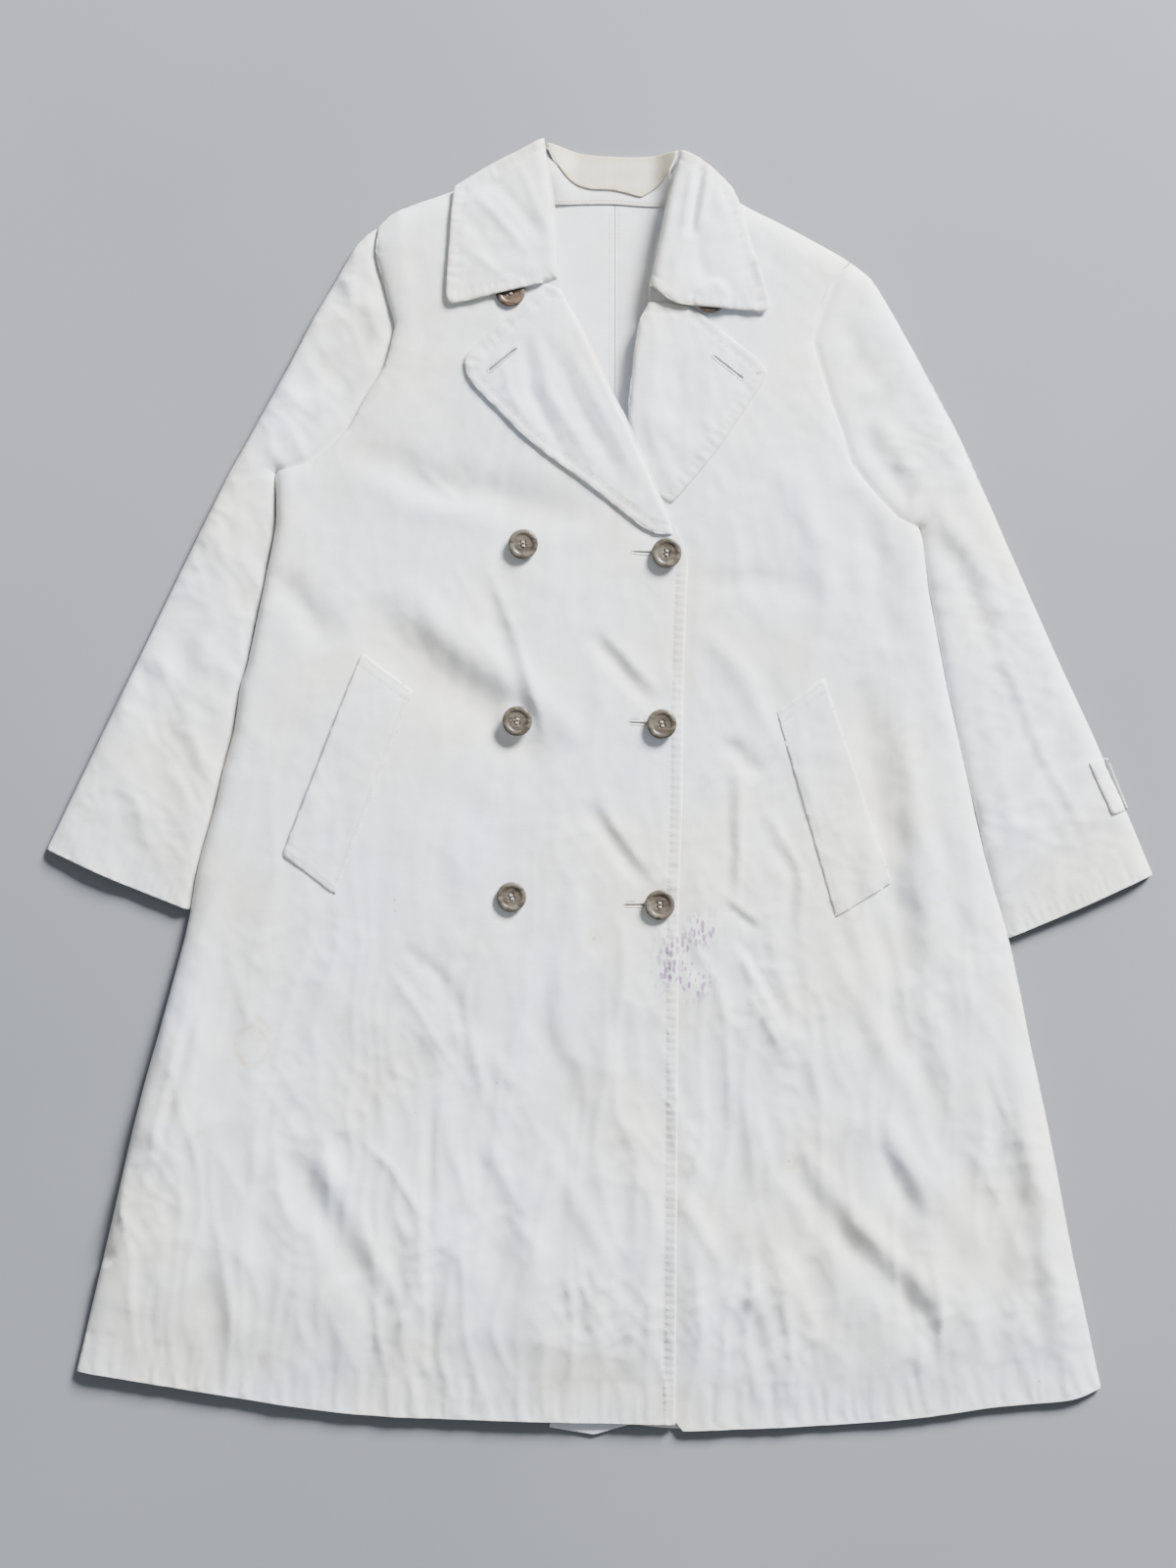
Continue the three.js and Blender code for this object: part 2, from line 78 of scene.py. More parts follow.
LEFT_ARM = [(261.6, 214), (243.2, 222.8), (219.2, 248.4), (204.8, 267.6), (198.4, 290), (185.6, 326.8), (174.4, 365.2), (182.4, 393.2), (192, 415.6), (204.8, 432.4)]
LEFT_SHOULDER = [(204.8, 432.4), (189.6, 441.2), (151.2, 462), (113.6, 481.2), (66.4, 519.6)]
HEM_RIGHT = [(61.6, -521.2), (-41.6, -518.8), (-116, -516.4), (-175.2, -514), (-234.4, -508.4), (-332, -493.2), (-428.8, -477.2)]
HEM_LEFT = [(-71.2, -515.6), (-9.6, -517.2), (62.4, -519.6), (68, -526.8), (165.6, -522.8), (254.4, -516.4), (325.6, -506.8), (384.8, -501.2), (411.2, -491.6)]
FRONT_EDGE = [(72, 186), (69.6, 124.4), (68, 66), (67.2, -14), (64.8, -75.6), (64, -123.6), (63.6, -235.6), (62.8, -339.6), (61.6, -521.2)]
ROLL_RIGHT = [(-32.8, 412.4), (-28.8, 402), (-15.2, 378.8), (12, 321.2), (23.2, 299.6), (42.4, 255.6), (58.4, 219.6), (68, 199.6), (72, 186)]
NECK_RIGHT = [(-44.8, 522.8), (-38.4, 490), (-33.6, 441.2), (-32.8, 412.4)]
ROLL_LEFT = [(66.4, 519.6), (56, 490), (45.6, 441.2), (40.8, 416.4), (39.2, 395.6), (32, 380.4), (28, 354.8), (23.2, 302.8), (10.4, 260.4), (-17.6, 212.4), (-65.6, 186.8), (-71.2, 164.4)]
R_WELT = [(-193.6, 110.8), (-152.8, 80.4), (-216, -86), (-258.4, -53.2)]
L_WELT = [(183.2, 90), (144.8, 62.8), (192.8, -104.4), (238.4, -76.4)]
TURN_A = (64, -123.6)
TURN_B = (-169.6, -514)
BTN_L = [(-62.4, 199.6), (-67.2, 55.6), (-72, -87.6)]
BTN_R = [(54.4, 192.4), (50.4, 53.2), (48.8, -94)]
HOLES = [(27.2, 193.6), (24, 54.4), (20, -94.4)]


# ------------------------------------------------------------ numeric helpers
def hash2(ix, iy, seed):
    h = (ix.astype(np.int64) * 374761393 + iy.astype(np.int64) * 668265263 + seed * 1442695041) & 0xFFFFFFFF
    h = ((h ^ (h >> 13)) * 1274126177) & 0xFFFFFFFF
    h = h ^ (h >> 16)
    return (h & 0xFFFF) / 65535.0 * 2.0 * math.pi


def noise(x, y, seed=1):
    """Gradient noise, about -1 to 1."""
    ix, iy = np.floor(x), np.floor(y)
    fx, fy = x - ix, y - iy
    u, v = fx * fx * fx * (fx * (fx * 6 - 15) + 10), fy * fy * fy * (fy * (fy * 6 - 15) + 10)
    out = []
    for dx, dy in ((0, 0), (1, 0), (0, 1), (1, 1)):
        a = hash2(ix + dx, iy + dy, seed)
        out.append(np.cos(a) * (fx - dx) + np.sin(a) * (fy - dy))
    return 1.5 * ((out[0] * (1 - u) + out[1] * u) * (1 - v) + (out[2] * (1 - u) + out[3] * u) * v)


def ridged(x, y, seed=1):
    """Creases: sharp crests on a soft ground, 0 to 1."""
    n = np.abs(noise(x, y, seed))
    return np.clip(1 - 1.6 * n, 0, 1) ** 2


def rot(x, y, deg):
    c, s = math.cos(math.radians(deg)), math.sin(math.radians(deg))
    return c * x + s * y, -s * x + c * y


def smooth(t):
    t = np.clip(t, 0, 1)
    return t * t * (3 - 2 * t)


def dist(x, y, line):
    """Distance from points to a polyline, and how far along it (0 to 1)."""
    line = np.asarray(line, float)
    best = np.full(x.shape, 1e9)
    along = np.zeros(x.shape)
    seg = np.hypot(*(line[1:] - line[:-1]).T)
    start = np.concatenate([[0], np.cumsum(seg)])
    for i in range(len(line) - 1):
        a, b = line[i], line[i + 1]
        d = b - a
        t = np.clip(((x - a[0]) * d[0] + (y - a[1]) * d[1]) / max(d @ d, 1e-9), 0, 1)
        r = np.hypot(x - a[0] - t * d[0], y - a[1] - t * d[1])
        near = r < best
        best[near] = r[near]
        along[near] = (start[i] + t[near] * seg[i]) / start[-1]
    return best, along


def quarter(d, r):
    """Round edge: 0 at the edge, 1 from r inwards."""
    t = np.clip(d / r, 0, 1)
    return np.sqrt(np.clip(1 - (1 - t) ** 2, 0, 1))


def inside(x, y, poly):
    poly = np.asarray(poly, float)
    res = np.zeros(x.shape, bool)
    j = len(poly) - 1
    for i in range(len(poly)):
        xi, yi = poly[i]
        xj, yj = poly[j]
        if yi != yj:
            c = ((yi > y) != (yj > y)) & (x < (xj - xi) * (y - yi) / (yj - yi) + xi)
            res ^= c
        j = i
    return res


def resample(line, step, closed=False):
    p = np.asarray(line, float)
    if closed:
        p = np.vstack([p, p[:1]])
    seg = np.hypot(*(p[1:] - p[:-1]).T)
    s = np.concatenate([[0], np.cumsum(seg)])
    n = max(2, int(round(s[-1] / step)) + 1)
    t = np.linspace(0, s[-1], n)
    q = np.stack([np.interp(t, s, p[:, 0]), np.interp(t, s, p[:, 1])], 1)
    return q[:-1] if closed else q


def curve(line, step=2.5, corner=28):
    """A smooth line through the points; corners sharper than corner degrees stay."""
    p = np.asarray(line, float)
    if len(p) < 3:
        return resample(p, step)
    keep = [0]
    for i in range(1, len(p) - 1):
        a, b = p[i] - p[i - 1], p[i + 1] - p[i]
        ang = abs(math.degrees(math.atan2(a[0] * b[1] - a[1] * b[0], a @ b)))
        if ang > corner:
            keep.append(i)
    keep.append(len(p) - 1)
    out = []
    for k in range(len(keep) - 1):
        q = p[keep[k]:keep[k + 1] + 1]
        ext = np.vstack([2 * q[0] - q[1], q, 2 * q[-1] - q[-2]])
        for i in range(1, len(ext) - 2):
            p0, p1, p2, p3 = ext[i - 1], ext[i], ext[i + 1], ext[i + 2]
            n = max(2, int(np.hypot(*(p2 - p1)) / 1.5))
            t = np.linspace(0, 1, n, endpoint=False)[:, None]
            m1, m2 = (p2 - p0) * 0.5, (p3 - p1) * 0.5
            l = np.hypot(*(p2 - p1))
            for m in (m1, m2):
                ml = np.hypot(*m)
                if ml > l * 1.2:
                    m *= l * 1.2 / ml
            out.append((2 * t**3 - 3 * t**2 + 1) * p1 + (t**3 - 2 * t**2 + t) * m1
                       + (-2 * t**3 + 3 * t**2) * p2 + (t**3 - t**2) * m2)
    out.append(p[-1:])
    return resample(np.vstack(out), step)


def ring(*parts):
    """Joins lines into one closed outline."""
    pts = []
    for part in parts:
        for q in np.asarray(part, float):
            if not pts or np.hypot(*(q - pts[-1])) > 0.25:
                pts.append(q)
    if np.hypot(*(pts[0] - pts[-1])) < 0.25:
        pts.pop()
    return np.array(pts)


def shift(line, d):
    """A line moved sideways, to the left of its direction for positive d."""
    p = np.asarray(line, float)
    t = np.gradient(p, axis=0)
    t /= np.maximum(np.hypot(t[:, 0], t[:, 1]), 1e-9)[:, None]
    return p + d * np.stack([-t[:, 1], t[:, 0]], 1)


# ----------------------------------------------------------------- meshes
def tri_sheet(outline, spacing, rows=(), lines=(), holes=(), fine=2.0):
    """Triangles that fill an outline, with finer rows along its edge and along lines."""
    out = np.asarray(outline, float)
    area = 0.5 * np.sum(out[:, 0] * np.roll(out[:, 1], -1) - np.roll(out[:, 0], -1) * out[:, 1])
    if area < 0:
        out = out[::-1]
    closed = np.vstack([out, out[:1]])
    x0, y0 = out.min(0)
    x1, y1 = out.max(0)
    pts = []
    last = 0.0
    for r in rows:
        t = np.roll(out, -1, 0) - np.roll(out, 1, 0)
        t /= np.maximum(np.hypot(t[:, 0], t[:, 1]), 1e-9)[:, None]
        q = out + r * np.stack([-t[:, 1], t[:, 0]], 1)
        q = resample(q, max(fine, spacing * 0.6 if r > 3 else fine), True)
        ok = inside(q[:, 0], q[:, 1], out) & (dist(q[:, 0], q[:, 1], closed)[0] > r * 0.93)
        pts.append(q[ok])
        last = r
    loops = [out]
    hole_d = None
    for h in holes:
        loops.append(np.asarray(h, float))
    extra = []
    for line in lines:
        base = resample(line, fine)
        for o in (-2.4, -1.0, 0.0, 1.0, 2.4):
            q = shift(base, o)
            ok = inside(q[:, 0], q[:, 1], out) & (dist(q[:, 0], q[:, 1], closed)[0] > 0.75)
            extra.append(q[ok])
    h = spacing * 0.866
    gy = np.arange(y0, y1 + h, h)
    gx = np.arange(x0, x1 + spacing, spacing)
    X, Y = np.meshgrid(gx, gy)
    X[1::2] += spacing / 2
    X, Y = X.ravel(), Y.ravel()
    ok = inside(X, Y, out)
    X, Y = X[ok], Y[ok]
    ok = dist(X, Y, closed)[0] > last + spacing * 0.5
    for line in lines:
        ok &= dist(X, Y, resample(line, 12))[0] > 2.4 + spacing * 0.45
    for hp in loops[1:]:
        ok &= (~inside(X, Y, hp)) & (dist(X, Y, np.vstack([hp, hp[:1]]))[0] > spacing * 0.5)
    grid = np.stack([X[ok], Y[ok]], 1)
    cloud = [grid]
    if pts:
        cloud.append(np.vstack(pts))
    if extra:
        e = np.vstack(extra)
        for hp in loops[1:]:
            k = (~inside(e[:, 0], e[:, 1], hp)) & (dist(e[:, 0], e[:, 1], np.vstack([hp, hp[:1]]))[0] > 0.7)
            e = e[k]
        cloud.append(e)
    for hp in loops[1:]:
        ctr = hp.mean(0)
        for r in (1.0, 2.2):
            dd = hp - ctr
            l = np.maximum(np.hypot(dd[:, 0], dd[:, 1]), 1e-6)[:, None]
            cloud.append(hp + dd / l * r)
    cloud = np.vstack(cloud)
    # thin out points that nearly coincide
    key = np.round(cloud / 0.62).astype(np.int64)
    _, first = np.unique(key[:, 0] * 1000003 + key[:, 1], return_index=True)
    cloud = cloud[np.sort(first)]
    for hp in loops:
        keep = dist(cloud[:, 0], cloud[:, 1], np.vstack([hp, hp[:1]]))[0] > 0.45
        cloud = cloud[keep]
    verts = [Vector(p) for lp in loops for p in lp] + [Vector(p) for p in cloud]
    edges, n = [], 0
    for lp in loops:
        edges += [(n + i, n + (i + 1) % len(lp)) for i in range(len(lp))]
        n += len(lp)
    v, e, f, *_ = delaunay_2d_cdt(verts, edges, [], 0, 1e-5)
    v = np.array([(p[0], p[1]) for p in v])
    f = np.array([t for t in f if len(t) == 3], np.int64)
    a, b, c = v[f[:, 0]], v[f[:, 1]], v[f[:, 2]]
    cr = (b[:, 0] - a[:, 0]) * (c[:, 1] - a[:, 1]) - (b[:, 1] - a[:, 1]) * (c[:, 0] - a[:, 0])
    f[cr < 0] = f[cr < 0][:, ::-1]
    m = (a + b + c) / 3
    ok = inside(m[:, 0], m[:, 1], out) & (np.abs(cr) > 1e-7)
    for hp in loops[1:]:
        ok &= ~inside(m[:, 0], m[:, 1], hp)
    f = f[ok]
    used = np.unique(f)
    remap = np.full(len(v), -1)
    remap[used] = np.arange(len(used))
    return v[used], remap[f]


def mesh_from(name, co, tris, smooth_shade=True):
    me = bpy.data.meshes.new(name)
    co = np.asarray(co, np.float32)
    tris = np.asarray(tris, np.int32)
    me.vertices.add(len(co))
    me.vertices.foreach_set("co", co.ravel())
    me.loops.add(len(tris) * 3)
    me.loops.foreach_set("vertex_index", tris.ravel())
    me.polygons.add(len(tris))
    me.polygons.foreach_set("loop_start", np.arange(0, len(tris) * 3, 3, dtype=np.int32))
    me.polygons.foreach_set("use_smooth", np.full(len(tris), smooth_shade))
    me.update(calc_edges=True)
    me.validate()
    ob = bpy.data.objects.new(name, me)
    COL.objects.link(ob)
    return ob


def attribute(ob, name, values, kind="FLOAT"):
    a = ob.data.attributes.new(name, kind, "POINT")
    if kind == "FLOAT":
        a.data.foreach_set("value", np.asarray(values, np.float32).ravel())
    else:
        a.data.foreach_set("vector", np.asarray(values, np.float32).ravel())


def plan_area(v, f):
    a, b, c = v[f[:, 0]], v[f[:, 1]], v[f[:, 2]]
    return float(np.abs((b[:, 0] - a[:, 0]) * (c[:, 1] - a[:, 1]) - (b[:, 1] - a[:, 1]) * (c[:, 0] - a[:, 0])).sum() / 2)


def cloth(name, outline, zfun, thick=0.9, spacing=3.2, rows=(), lines=(), holes=(), mat=None, seed=0, paint=None, rests=(), fine=2.0, held="laid", declare=True):
    """A sheet of cloth: zfun gives the middle of its thickness at each plan point."""
    v, f = tri_sheet(outline, spacing, rows, lines, holes, fine)
    z = zfun(v[:, 0], v[:, 1])
    n = len(v)
    # thickness is laid along the surface normal, so steep edges stay full
    co = np.concatenate([v, z[:, None]], 1)
    a, b, c = co[f[:, 0]], co[f[:, 1]], co[f[:, 2]]
    fn = np.cross(b - a, c - a)
    vn = np.zeros_like(co)
    for k in range(3):
        np.add.at(vn, f[:, k], fn)
    vn /= np.maximum(np.linalg.norm(vn, axis=1), 1e-9)[:, None]
    vn[:, :2] *= 0.6
    vn /= np.maximum(np.linalg.norm(vn, axis=1), 1e-9)[:, None]
    up = co + vn * thick / 2
    dn = co - vn * thick / 2
    e = np.concatenate([f[:, [0, 1]], f[:, [1, 2]], f[:, [2, 0]]])
    key = np.sort(e, 1)
    _, inv, cnt = np.unique(key[:, 0] * n + key[:, 1], return_inverse=True, return_counts=True)
    rim = e[cnt[inv] == 1]
    tri = np.concatenate([f, f[:, ::-1] + n,
                          np.stack([rim[:, 1], rim[:, 0], rim[:, 0] + n], 1),
                          np.stack([rim[:, 1], rim[:, 0] + n, rim[:, 1] + n], 1)])
    ob = mesh_from(name, np.concatenate([up, dn]) / 1000.0, tri)
    rest = np.concatenate([up, dn]) / 1000.0
    attribute(ob, "rest", rest, "FLOAT_VECTOR")
    marks_and_shade = np.zeros((n, 3)) if paint is None else paint(v[:, 0], v[:, 1])
    attribute(ob, "soil", np.concatenate([marks_and_shade[:, 0], marks_and_shade[:, 0] * 0.3]))
    attribute(ob, "ink", np.concatenate([marks_and_shade[:, 1], marks_and_shade[:, 1] * 0]))
    # the third mask is painted shade: darkening in the valleys of the folds, kept on the top face only
    attribute(ob, "painted_fold_shade", np.concatenate([marks_and_shade[:, 2], marks_and_shade[:, 2] * 0]))
    if mat:
        ob.data.materials.append(mat)
    if declare:
        w, l = (v.max(0) - v.min(0)) / 1000.0
        ar = plan_area(v, f) / 1e6
        s = max(1.0, ar * 1.02 / (w * l), )
        lo_s = 0.31
        if ar < lo_s * w * l:
            # a long slanted strip: its length and width worked out from its outline
            peri = np.hypot(*(np.roll(outline, -1, 0) - outline).T).sum() / 1000.0
            l = peri / 2 * 0.97
            w = max(ar / l * 1.2, 0.0101)
        max(w, 0.0101) * s
        max(l, 0.0101) * s
    return ob


def stitches(name, runs, mat, length=2.3, gap=0.9, width=0.42, height=0.36):
    """Machine stitches: small tapered threads that lie along each run (x, y, z)."""
    V, T = [], []
    sec = [(math.cos(a), math.sin(a)) for a in np.linspace(0, 2 * math.pi, 5)[:-1]]
    for run in runs:
        p = np.asarray(run, float)
        seg = np.linalg.norm(p[1:] - p[:-1], axis=1)
        s = np.concatenate([[0], np.cumsum(seg)])
        pos = np.arange(gap, s[-1] - length, length + gap)
        for s0 in pos:
            a = np.array([np.interp(s0, s, p[:, k]) for k in range(3)])
            b = np.array([np.interp(s0 + length, s, p[:, k]) for k in range(3)])
            d = b - a
            l = np.linalg.norm(d)
            if l < 0.3:
                continue
            d /= l
            side = np.cross(d, (0, 0, 1.0))
            side /= max(np.linalg.norm(side), 1e-9)
            upv = np.cross(side, d)
            n0 = len(V)
            V.append(a - upv * 0.2)
            for t in (0.22, 0.78):
                c = a + d * l * t + upv * 0.08
                for ca, sa in sec:
                    V.append(c + side * ca * width / 2 + upv * sa * height / 2)
            V.append(b - upv * 0.2)
            for k in range(4):
                k2 = (k + 1) % 4
                T.append((n0, n0 + 1 + k2, n0 + 1 + k))
                T.append((n0 + 1 + k, n0 + 1 + k2, n0 + 5 + k2))
                T.append((n0 + 1 + k, n0 + 5 + k2, n0 + 5 + k))
                T.append((n0 + 9, n0 + 5 + k, n0 + 5 + k2))
    ob = mesh_from(name, np.array(V) / 1000.0, np.array(T))
    ob.data.materials.append(mat)
    return ob


def on_top(line, zfun, thick=0.9, lift=0.1, step=1.5):
    q = resample(line, step)
    z = zfun(q[:, 0], q[:, 1]) + thick / 2 + lift
    return np.concatenate([q, z[:, None]], 1)


# ---------------------------------------------------------------- materials
def node_tree(name):
    m = bpy.data.materials.new(name)
    m.use_nodes = True
    nt = m.node_tree
    nt.nodes.clear()
    out = nt.nodes.new("ShaderNodeOutputMaterial")
    bs = nt.nodes.new("ShaderNodeBsdfPrincipled")
    nt.links.new(bs.outputs[0], out.inputs[0])
    return m, nt, bs


def N(nt, kind, **kw):
    n = nt.nodes.new(kind)
    for k, v in kw.items():
        if k.startswith("i_"):
            key = k[2:]
            n.inputs[int(key) if key.isdigit() else key.replace("_", " ")].default_value = v
        else:
            setattr(n, k, v)
    return n


def math_node(nt, op, a, b=None, clamp=False):
    n = nt.nodes.new("ShaderNodeMath")
    n.operation = op
    n.use_clamp = clamp
    for i, s in enumerate((a, b)):
        if s is None:
            continue
        if isinstance(s, (int, float)):
            n.inputs[i].default_value = s
        else:
            nt.links.new(s, n.inputs[i])
    return n.outputs[0]


def mix_color(nt, fac, a, b, blend="MIX"):
    n = nt.nodes.new("ShaderNodeMix")
    n.data_type = "RGBA"
    n.blend_type = blend
    for i, s in ((0, fac), (6, a), (7, b)):
        if isinstance(s, (int, float)):
            n.inputs[i].default_value = s
        elif isinstance(s, tuple):
            n.inputs[i].default_value = (*s, 1.0)
        else:
            nt.links.new(s, n.inputs[i])
    return n.outputs[2]


def ramp(nt, value, lo, hi, a=0.0, b=1.0, smooth_it=True):
    n = nt.nodes.new("ShaderNodeMapRange")
    n.interpolation_type = "SMOOTHSTEP" if smooth_it else "LINEAR"
    nt.links.new(value, n.inputs["Value"])
    n.inputs["From Min"].default_value = lo
    n.inputs["From Max"].default_value = hi
    n.inputs["To Min"].default_value = a
    n.inputs["To Max"].default_value = b
    return n.outputs["Result"]


SPOTS = [(-167.2, -90), (-166.4, -98.8), (-150.4, -263.6), (-84, -239.6), (-4.8, -122), (360, -485.2), (154.4, -303.6)]
SPOT_R = [1.5, 1.1, 1.0, 1.0, 2.4, 1.2, 1.4]


def cotton(name, base, warm, weave=0.42, rough=0.88, spots=False, soil_color=(0.52, 0.42, 0.25), fold=0.3):
    """A plain-woven cotton: yarn bump, slubs, cloudy tone, and from the sheet's own masks soil, ink and painted shade
    in the fold valleys.
    """
    m, nt, bs = node_tree(name)
    rest = N(nt, "ShaderNodeAttribute", attribute_name="rest").outputs["Vector"]
    L = nt.links
    # cloudy tone and slubs
    big = N(nt, "ShaderNodeTexNoise", i_Scale=7.0, i_Detail=3.0, i_Roughness=0.55)
    L.new(rest, big.inputs["Vector"])
    mid = N(nt, "ShaderNodeTexNoise", i_Scale=46.0, i_Detail=4.0, i_Roughness=0.6)
    L.new(rest, mid.inputs["Vector"])
    mp = N(nt, "ShaderNodeMapping")
    mp.inputs["Scale"].default_value = (1500.0, 55.0, 200.0)
    L.new(rest, mp.inputs["Vector"])
    slub = N(nt, "ShaderNodeTexNoise", i_Scale=1.0, i_Detail=2.0)
    L.new(mp.outputs[0], slub.inputs["Vector"])
    mp2 = N(nt, "ShaderNodeMapping")
    mp2.inputs["Scale"].default_value = (55.0, 1500.0, 200.0)
    L.new(rest, mp2.inputs["Vector"])
    slub2 = N(nt, "ShaderNodeTexNoise", i_Scale=1.0, i_Detail=2.0)
    L.new(mp2.outputs[0], slub2.inputs["Vector"])
    tone = ramp(nt, big.outputs[0], 0.36, 0.66)
    col = mix_color(nt, tone, base, warm)
    t2 = ramp(nt, mid.outputs[0], 0.3, 0.75, 0.94, 1.03)
    comb = N(nt, "ShaderNodeCombineColor")
    for i in range(3):
        L.new(t2, comb.inputs[i])
    col = mix_color(nt, 1.0, col, comb.outputs[0], "MULTIPLY")
    yarn = math_node(nt, "ADD", ramp(nt, slub.outputs[0], 0.3, 0.7, -0.02, 0.02), ramp(nt, slub2.outputs[0], 0.3, 0.7, -0.02, 0.02))
    y1 = math_node(nt, "ADD", yarn, 1.0)
    comb2 = N(nt, "ShaderNodeCombineColor")
    for i in range(3):
        L.new(y1, comb2.inputs[i])
    col = mix_color(nt, 1.0, col, comb2.outputs[0], "MULTIPLY")
    # painted shade: the valleys of the folds are darkened towards tan
    valley_shade_fac = N(nt, "ShaderNodeAttribute", attribute_name="painted_fold_shade").outputs["Fac"]
    col = mix_color(nt, math_node(nt, "MULTIPLY", valley_shade_fac, 0.55, True), col, (0.60, 0.545, 0.445))
    # soil: yellowed edges and dried water marks
    soil = N(nt, "ShaderNodeAttribute", attribute_name="soil").outputs["Fac"]
    brk = N(nt, "ShaderNodeTexNoise", i_Scale=120.0, i_Detail=5.0, i_Roughness=0.65)
    L.new(rest, brk.inputs["Vector"])
    soil = math_node(nt, "MULTIPLY", soil, ramp(nt, brk.outputs[0], 0.25, 0.75, 0.45, 1.25), True)
    col = mix_color(nt, soil, col, soil_color)
    if spots:
        total = None
        for (px, py), r in zip(SPOTS, SPOT_R):
            dn = N(nt, "ShaderNodeVectorMath", operation="DISTANCE")
            flat = N(nt, "ShaderNodeVectorMath", operation="MULTIPLY")
            flat.inputs[1].default_value = (1, 1, 0)
            L.new(rest, flat.inputs[0])
            L.new(flat.outputs[0], dn.inputs[0])
            dn.inputs[1].default_value = (px / 1000, py / 1000, 0)
            s = ramp(nt, dn.outputs["Value"], r * 0.5e-3, r * 1.25e-3, 1.0, 0.0)
            total = s if total is None else math_node(nt, "MAXIMUM", total, s)
        total = math_node(nt, "MULTIPLY", total, 0.5)
        col = mix_color(nt, total, col, (0.28, 0.17, 0.08))
        ink = N(nt, "ShaderNodeAttribute", attribute_name="ink").outputs["Fac"]
        vor = N(nt, "ShaderNodeTexVoronoi", i_Scale=300.0)
        vm = N(nt, "ShaderNodeMapping")
        vm.inputs["Scale"].default_value = (1.0, 0.42, 1.0)
        vm.inputs["Rotation"].default_value = (0.0, 0.0, 0.2)
        L.new(rest, vm.inputs["Vector"])
        L.new(vm.outputs[0], vor.inputs["Vector"])
        speck = ramp(nt, vor.outputs["Distance"], 0.34, 0.52, 1.0, 0.0)
        gate = N(nt, "ShaderNodeTexNoise", i_Scale=85.0, i_Detail=2.0)
        L.new(rest, gate.inputs["Vector"])
        speck = math_node(nt, "MULTIPLY", speck, ramp(nt, gate.outputs[0], 0.36, 0.48))
        speck = math_node(nt, "MULTIPLY", speck, math_node(nt, "MULTIPLY", ink, 1.7, True), True)
        col = mix_color(nt, math_node(nt, "MULTIPLY", speck, 0.9), col, (0.27, 0.16, 0.33))
    L.new(col, bs.inputs["Base Color"])
    # weave bump: over and under yarns, then the small crumple of worn cloth
    s = 2 * math.pi / (weave * 1e-3)
    sep = N(nt, "ShaderNodeSeparateXYZ")
    L.new(rest, sep.inputs[0])
    wx = math_node(nt, "SINE", math_node(nt, "MULTIPLY", sep.outputs[0], s))
    wy = math_node(nt, "SINE", math_node(nt, "MULTIPLY", sep.outputs[1], s))
    wv = math_node(nt, "MULTIPLY", wx, wy)
    b1 = N(nt, "ShaderNodeBump", i_Strength=0.22, i_Distance=0.00012)
    L.new(wv, b1.inputs["Height"])
    cr = N(nt, "ShaderNodeTexNoise", i_Scale=150.0, i_Detail=5.0, i_Roughness=0.6, i_Distortion=0.6)
    L.new(rest, cr.inputs["Vector"])
    b2 = N(nt, "ShaderNodeBump", i_Strength=fold, i_Distance=0.0006)
    L.new(cr.outputs[0], b2.inputs["Height"])
    L.new(b1.outputs[0], b2.inputs["Normal"])
    L.new(b2.outputs[0], bs.inputs["Normal"])
    rr = ramp(nt, mid.outputs[0], 0.3, 0.7, rough - 0.05, rough + 0.06)
    L.new(rr, bs.inputs["Roughness"])
    bs.inputs["Specular IOR Level"].default_value = 0.25
    bs.inputs["Sheen Weight"].default_value = 0.12
    bs.inputs["Sheen Roughness"].default_value = 0.5
    bs.inputs["Sheen Tint"].default_value = (0.95, 0.96, 1.0, 1.0)
    return m


def thread_mat(name, base):
    m, nt, bs = node_tree(name)
    tc = N(nt, "ShaderNodeTexCoord").outputs["Object"]
    n = N(nt, "ShaderNodeTexNoise", i_Scale=900.0, i_Detail=3.0)
    nt.links.new(tc, n.inputs["Vector"])
    big = N(nt, "ShaderNodeTexNoise", i_Scale=30.0, i_Detail=2.0)
    nt.links.new(tc, big.inputs["Vector"])
    c = mix_color(nt, ramp(nt, n.outputs[0], 0.3, 0.7), tuple(v * 0.86 for v in base), base)
    c = mix_color(nt, ramp(nt, big.outputs[0], 0.35, 0.65, 0.0, 0.3), c, (base[0] * 0.9, base[1] * 0.84, base[2] * 0.72))
    nt.links.new(c, bs.inputs["Base Color"])
    nt.links.new(ramp(nt, n.outputs[0], 0.3, 0.7, 0.6, 0.8), bs.inputs["Roughness"])
    b = N(nt, "ShaderNodeBump", i_Strength=0.4, i_Distance=0.00008)
    nt.links.new(n.outputs[0], b.inputs["Height"])
    nt.links.new(b.outputs[0], bs.inputs["Normal"])
    bs.inputs["Sheen Weight"].default_value = 0.15
    return m


